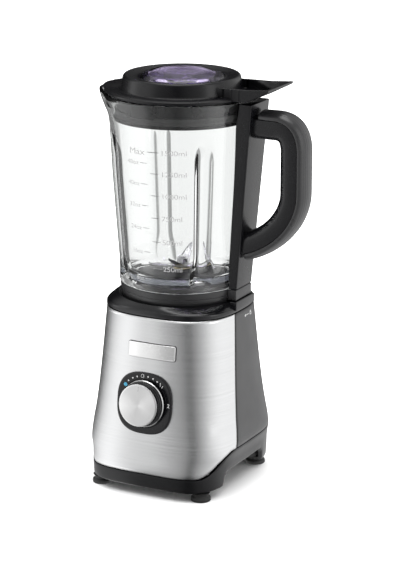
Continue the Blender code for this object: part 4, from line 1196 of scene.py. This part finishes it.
# ---------------------------------------------------------------------------------------------
# Lid: one black moulding. A plate with a lip over the spout, a tall ring with a soft dished top
# round the filler hole, a skirt that goes down inside the glass, and a thumb tray at the handle.
lid_black = moulded_plastic("lid_black", (0.003, 0.003, 0.004), 0.28, grain=0.15, shine=0.34)
LID_SPOUT = 9.6
LID_OUTLINE = ((42.2, 406.0, 0), (43.4, 405.55, 0.5), (46.5, 405.9, 1.5), (53.0, 407.6, 2.0),
               (55.6, 408.3, 0.9), (57.2, 406.9, 1.0), (59.7, 396.0, 0.6), (60.4, 394.7, 0.5),
               (62.6, 394.2, 0.6), (70.8, 394.2, 0), (71.6, 393.8, 0.2), (73.2, 393.6, 0.5),
               (73.6, 392.4, 0.4), (73.3, 391.0, 0.4), (66.2, 390.7, 0), (65.2, 388, 0.4),
               (65.0, 377.4, 0), (64.5, 377.2, 0), (64.5, 369.4, 0), (65.0, 369.2, 0),
               (65.0, 366, 0.4), (62.2, 366, 0.4), (62.2, 389, 0), (57.2, 391.6, 0.5),
               (53.8, 403.6, 0.5), (44.6, 402.4, 0), (44.4, 399.6, 0), (38.7, 399.6, 0),
               (38.7, 402.0, 0), (42.2, 402.0, 0))
PLATE_STARTS, PLATE_UNDERSIDE = 66.5, 390.8


def lid_rings():
    """The lid's outline carried round, with its plate pulled out over the spout."""
    rings = []
    for radius, height in rounded(LID_OUTLINE, 3):
        pulled = 1.0 if radius > PLATE_STARTS and height > PLATE_UNDERSIDE else 0.0
        ring = []
        for angle in signed_angles(240):
            reach = radius + pulled * spout(angle, 400, LID_SPOUT)
            ring.append((reach * cos(angle), reach * sin(angle), height))
        rings.append(ring)
    return rings


lid = lofted("lid_plate", lid_rings(), closed=True, smooth=35)
TRAY_SIDE = ((57.5, 391.6), (83, 391.6), (106.0, 403.2), (106.6, 405.6), (84, 403.9), (57.5, 403.6))
TRAY_HOLLOW = ((40, 394.4), (82, 394.4), (105.2, 406.0), (84, 412), (40, 412))
TRAY_OUT, TRAY_IN = 27.6, 25.4
tray = soft_edges(prism("tray", TRAY_SIDE, "y", -TRAY_OUT, TRAY_OUT), 0.7)
cut(tray, prism("tray_hollow", TRAY_HOLLOW, "y", -TRAY_IN, TRAY_IN))
webs = [block(f"web_{low}", (46, low, 395), (60, high, 403.4), 0.3)
        for low, high in ((-TRAY_OUT, -TRAY_IN), (TRAY_IN, TRAY_OUT))]
ribs = [block(f"rib_{x}", (x, -28.2, 392.4), (x + 2.0, -27.2, 403.2), 0.35) for x in (66, 74)]


def skirt_pad(name, start, end, foot, top, proud):
    """A curved pad moulded on the outside of the lid's skirt."""
    steps = 12
    rings = []
    for i in range(steps + 1):
        angle = radians(start + (end - start) * i / steps)
        rings.append([(r * cos(angle), r * sin(angle), z) for r, z in
                      ((64.2, foot), (65 + proud, foot + 0.4), (65 + proud, top - 0.4), (64.2, top))])
    return lofted(name, rings, smooth=30)


pads = [skirt_pad("skirt_lug", -112, -85, 373.6, 388.6, 1.3),
        skirt_pad("skirt_strip", -82, -76.5, 373.0, 388.6, 0.9)]
dressed(joined("lid", lid, tray, *webs, *ribs, *pads), lid_black, "lid", "lid_body", slot="black_plastic")

LID_SEAL_OUTLINE = ((64.6, 369.6, 0.2), (65.9, 369.8, 0.3), (66.5, 371.6, 0.4), (66.2, 373.0, 0.2),
                    (66.5, 374.4, 0.4), (65.9, 376.8, 0.3), (64.6, 377.0, 0.2))
lid_seal = turned("lid_seal_ring", rounded(LID_SEAL_OUTLINE), steps=160)
dressed(lid_seal, seal_rubber, "lid", "lid_seal", slot="rubber")

# ---------------------------------------------------------------------------------------------
# Filler cap: a violet-tinted clear moulding, domed on top, with a skirt that drops into the lid
# and two crossed wavy ribs and a ring, moulded inside, that show through the dome.
tinted, tinted_tree, tinted_shader, tinted_place = new_finish("tinted_clear")
tinted_shader.inputs["Transmission Weight"].default_value = 1.0
tinted_shader.inputs["IOR"].default_value = 1.49
tinted_clouds = cloudy(tinted_tree, tinted_place, 45.0, 2.0)
two_tone(tinted_tree, tinted_shader, tinted_clouds, (0.68, 0.57, 0.88), (0.76, 0.66, 0.93))
uneven_gloss(tinted_tree, tinted_shader, tinted_clouds, 0.02, 0.08)
lets_light_through(tinted, (0.62, 0.55, 0.8))

DOME = ((0, 415.2, 0), (14, 414.4, 0), (27, 412.0, 0), (36, 409.2, 0), (40.6, 406.9, 0),
        (41.8, 405.4, 0.8), (41.8, 402.4, 0.3), (38.3, 402.4, 0), (36.6, 384, 0.5), (34.4, 384, 0.5),
        (36.0, 402.4, 0), (34, 406.4, 1.5), (25, 409.6, 0), (13, 411.8, 0), (0, 412.6, 0))


def domed(outline):
    """Smooth the two domes of the cap's outline with a curve through their points."""
    top = sorted((r, z) for r, z, _ in outline[:5])
    under = sorted((r, z) for r, z, _ in outline[-4:])
    upper = [(r, along(top, r)) for r in [40.6 * k / 16 for k in range(17)]]
    lower = [(r, along(under, r)) for r in [34.0 * k / 14 for k in range(14, -1, -1)]]
    return upper + rounded([(r, z, rounding) for r, z, rounding in outline[4:11]])[1:] + lower


cap = turned("cap_dome", domed(DOME), steps=120, smooth=45)
RIB_REACH, RIB_WAVE, RIB_WALL = 30, 5.5, 1.1
cap_ribs = []
for turn_by, wave in ((35, RIB_WAVE), (35 + 78, -RIB_WAVE)):
    outline = [(-RIB_REACH + 2 * RIB_REACH * i / 24, wave * sin(2 * pi * i / 24)) for i in range(25)]
    band = [(x, y - RIB_WALL) for x, y in outline] + [(x, y + RIB_WALL) for x, y in outline[::-1]]
    made = prism(f"cap_rib_{turn_by}", band, "z", 393.0, 406.4)
    made.rotation_euler.z = radians(turn_by)
    bpy.context.view_layer.update()
    cap_ribs.append(made)
INNER_RING = ((15.5, 394.0, 0.4), (17.5, 394.0, 0.4), (17.5, 409.5, 0.4), (15.5, 409.5, 0.4))
inner_ring = turned("cap_inner_ring", rounded(INNER_RING), steps=80)
clear_cap = joined("filler_cap_clear", cap, *cap_ribs, inner_ring)
dressed(clear_cap, tinted, "filler_cap", "filler_cap", slot="tinted_clear")

# ---------------------------------------------------------------------------------------------
# Hidden parts: the CAD nodes that are kept as they are get the finish of their real material.
inner_black = moulded_plastic("inner_black", (0.02, 0.02, 0.02), 0.5)
plated_steel = satin_metal("plated_steel", (0.55, 0.55, 0.56), 0.38)
carbon = moulded_plastic("carbon_block", (0.02, 0.02, 0.022), 0.45, grain=0.5)
copper = brushed_metal("enamelled_copper", (0.62, 0.25, 0.10), 0.34, 30.0, 2600.0, 0.6, 0.3)
green_board = moulded_plastic("green_board", (0.02, 0.12, 0.045), 0.4, grain=0.3, grain_size=0.002)
KEPT_FINISHES = {
    inner_black: ("bottom_cover", "base_housing", "switch_body", "brush_holder_left", "brush_holder_right",
                  "cooling_fan", "drive_coupling", "driven_coupling", "interlock_switch", "interlock_pin"),
    plated_steel: ("switch_shaft", "upper_bracket", "lower_bracket", "upper_bearing", "lower_bearing",
                   "motor_post_front", "motor_post_rear", "stator_core", "motor_shaft", "rotor_core"),
    copper: ("field_coil_front", "field_coil_rear", "armature_winding_upper",
             "armature_winding_lower", "commutator"),
    carbon: ("carbon_brush_left", "carbon_brush_right"),
    green_board: ("control_board",),
    blade_steel: ("blade_shaft",),
    rubber: ("cord_gland",),
}
for finish, names in KEPT_FINISHES.items():
    for name in names:
        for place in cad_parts[name].material_slots:
            place.material = finish
for name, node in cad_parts.items():
    if name.startswith("base_screw"):
        for place in node.material_slots:
            place.material = plated_steel
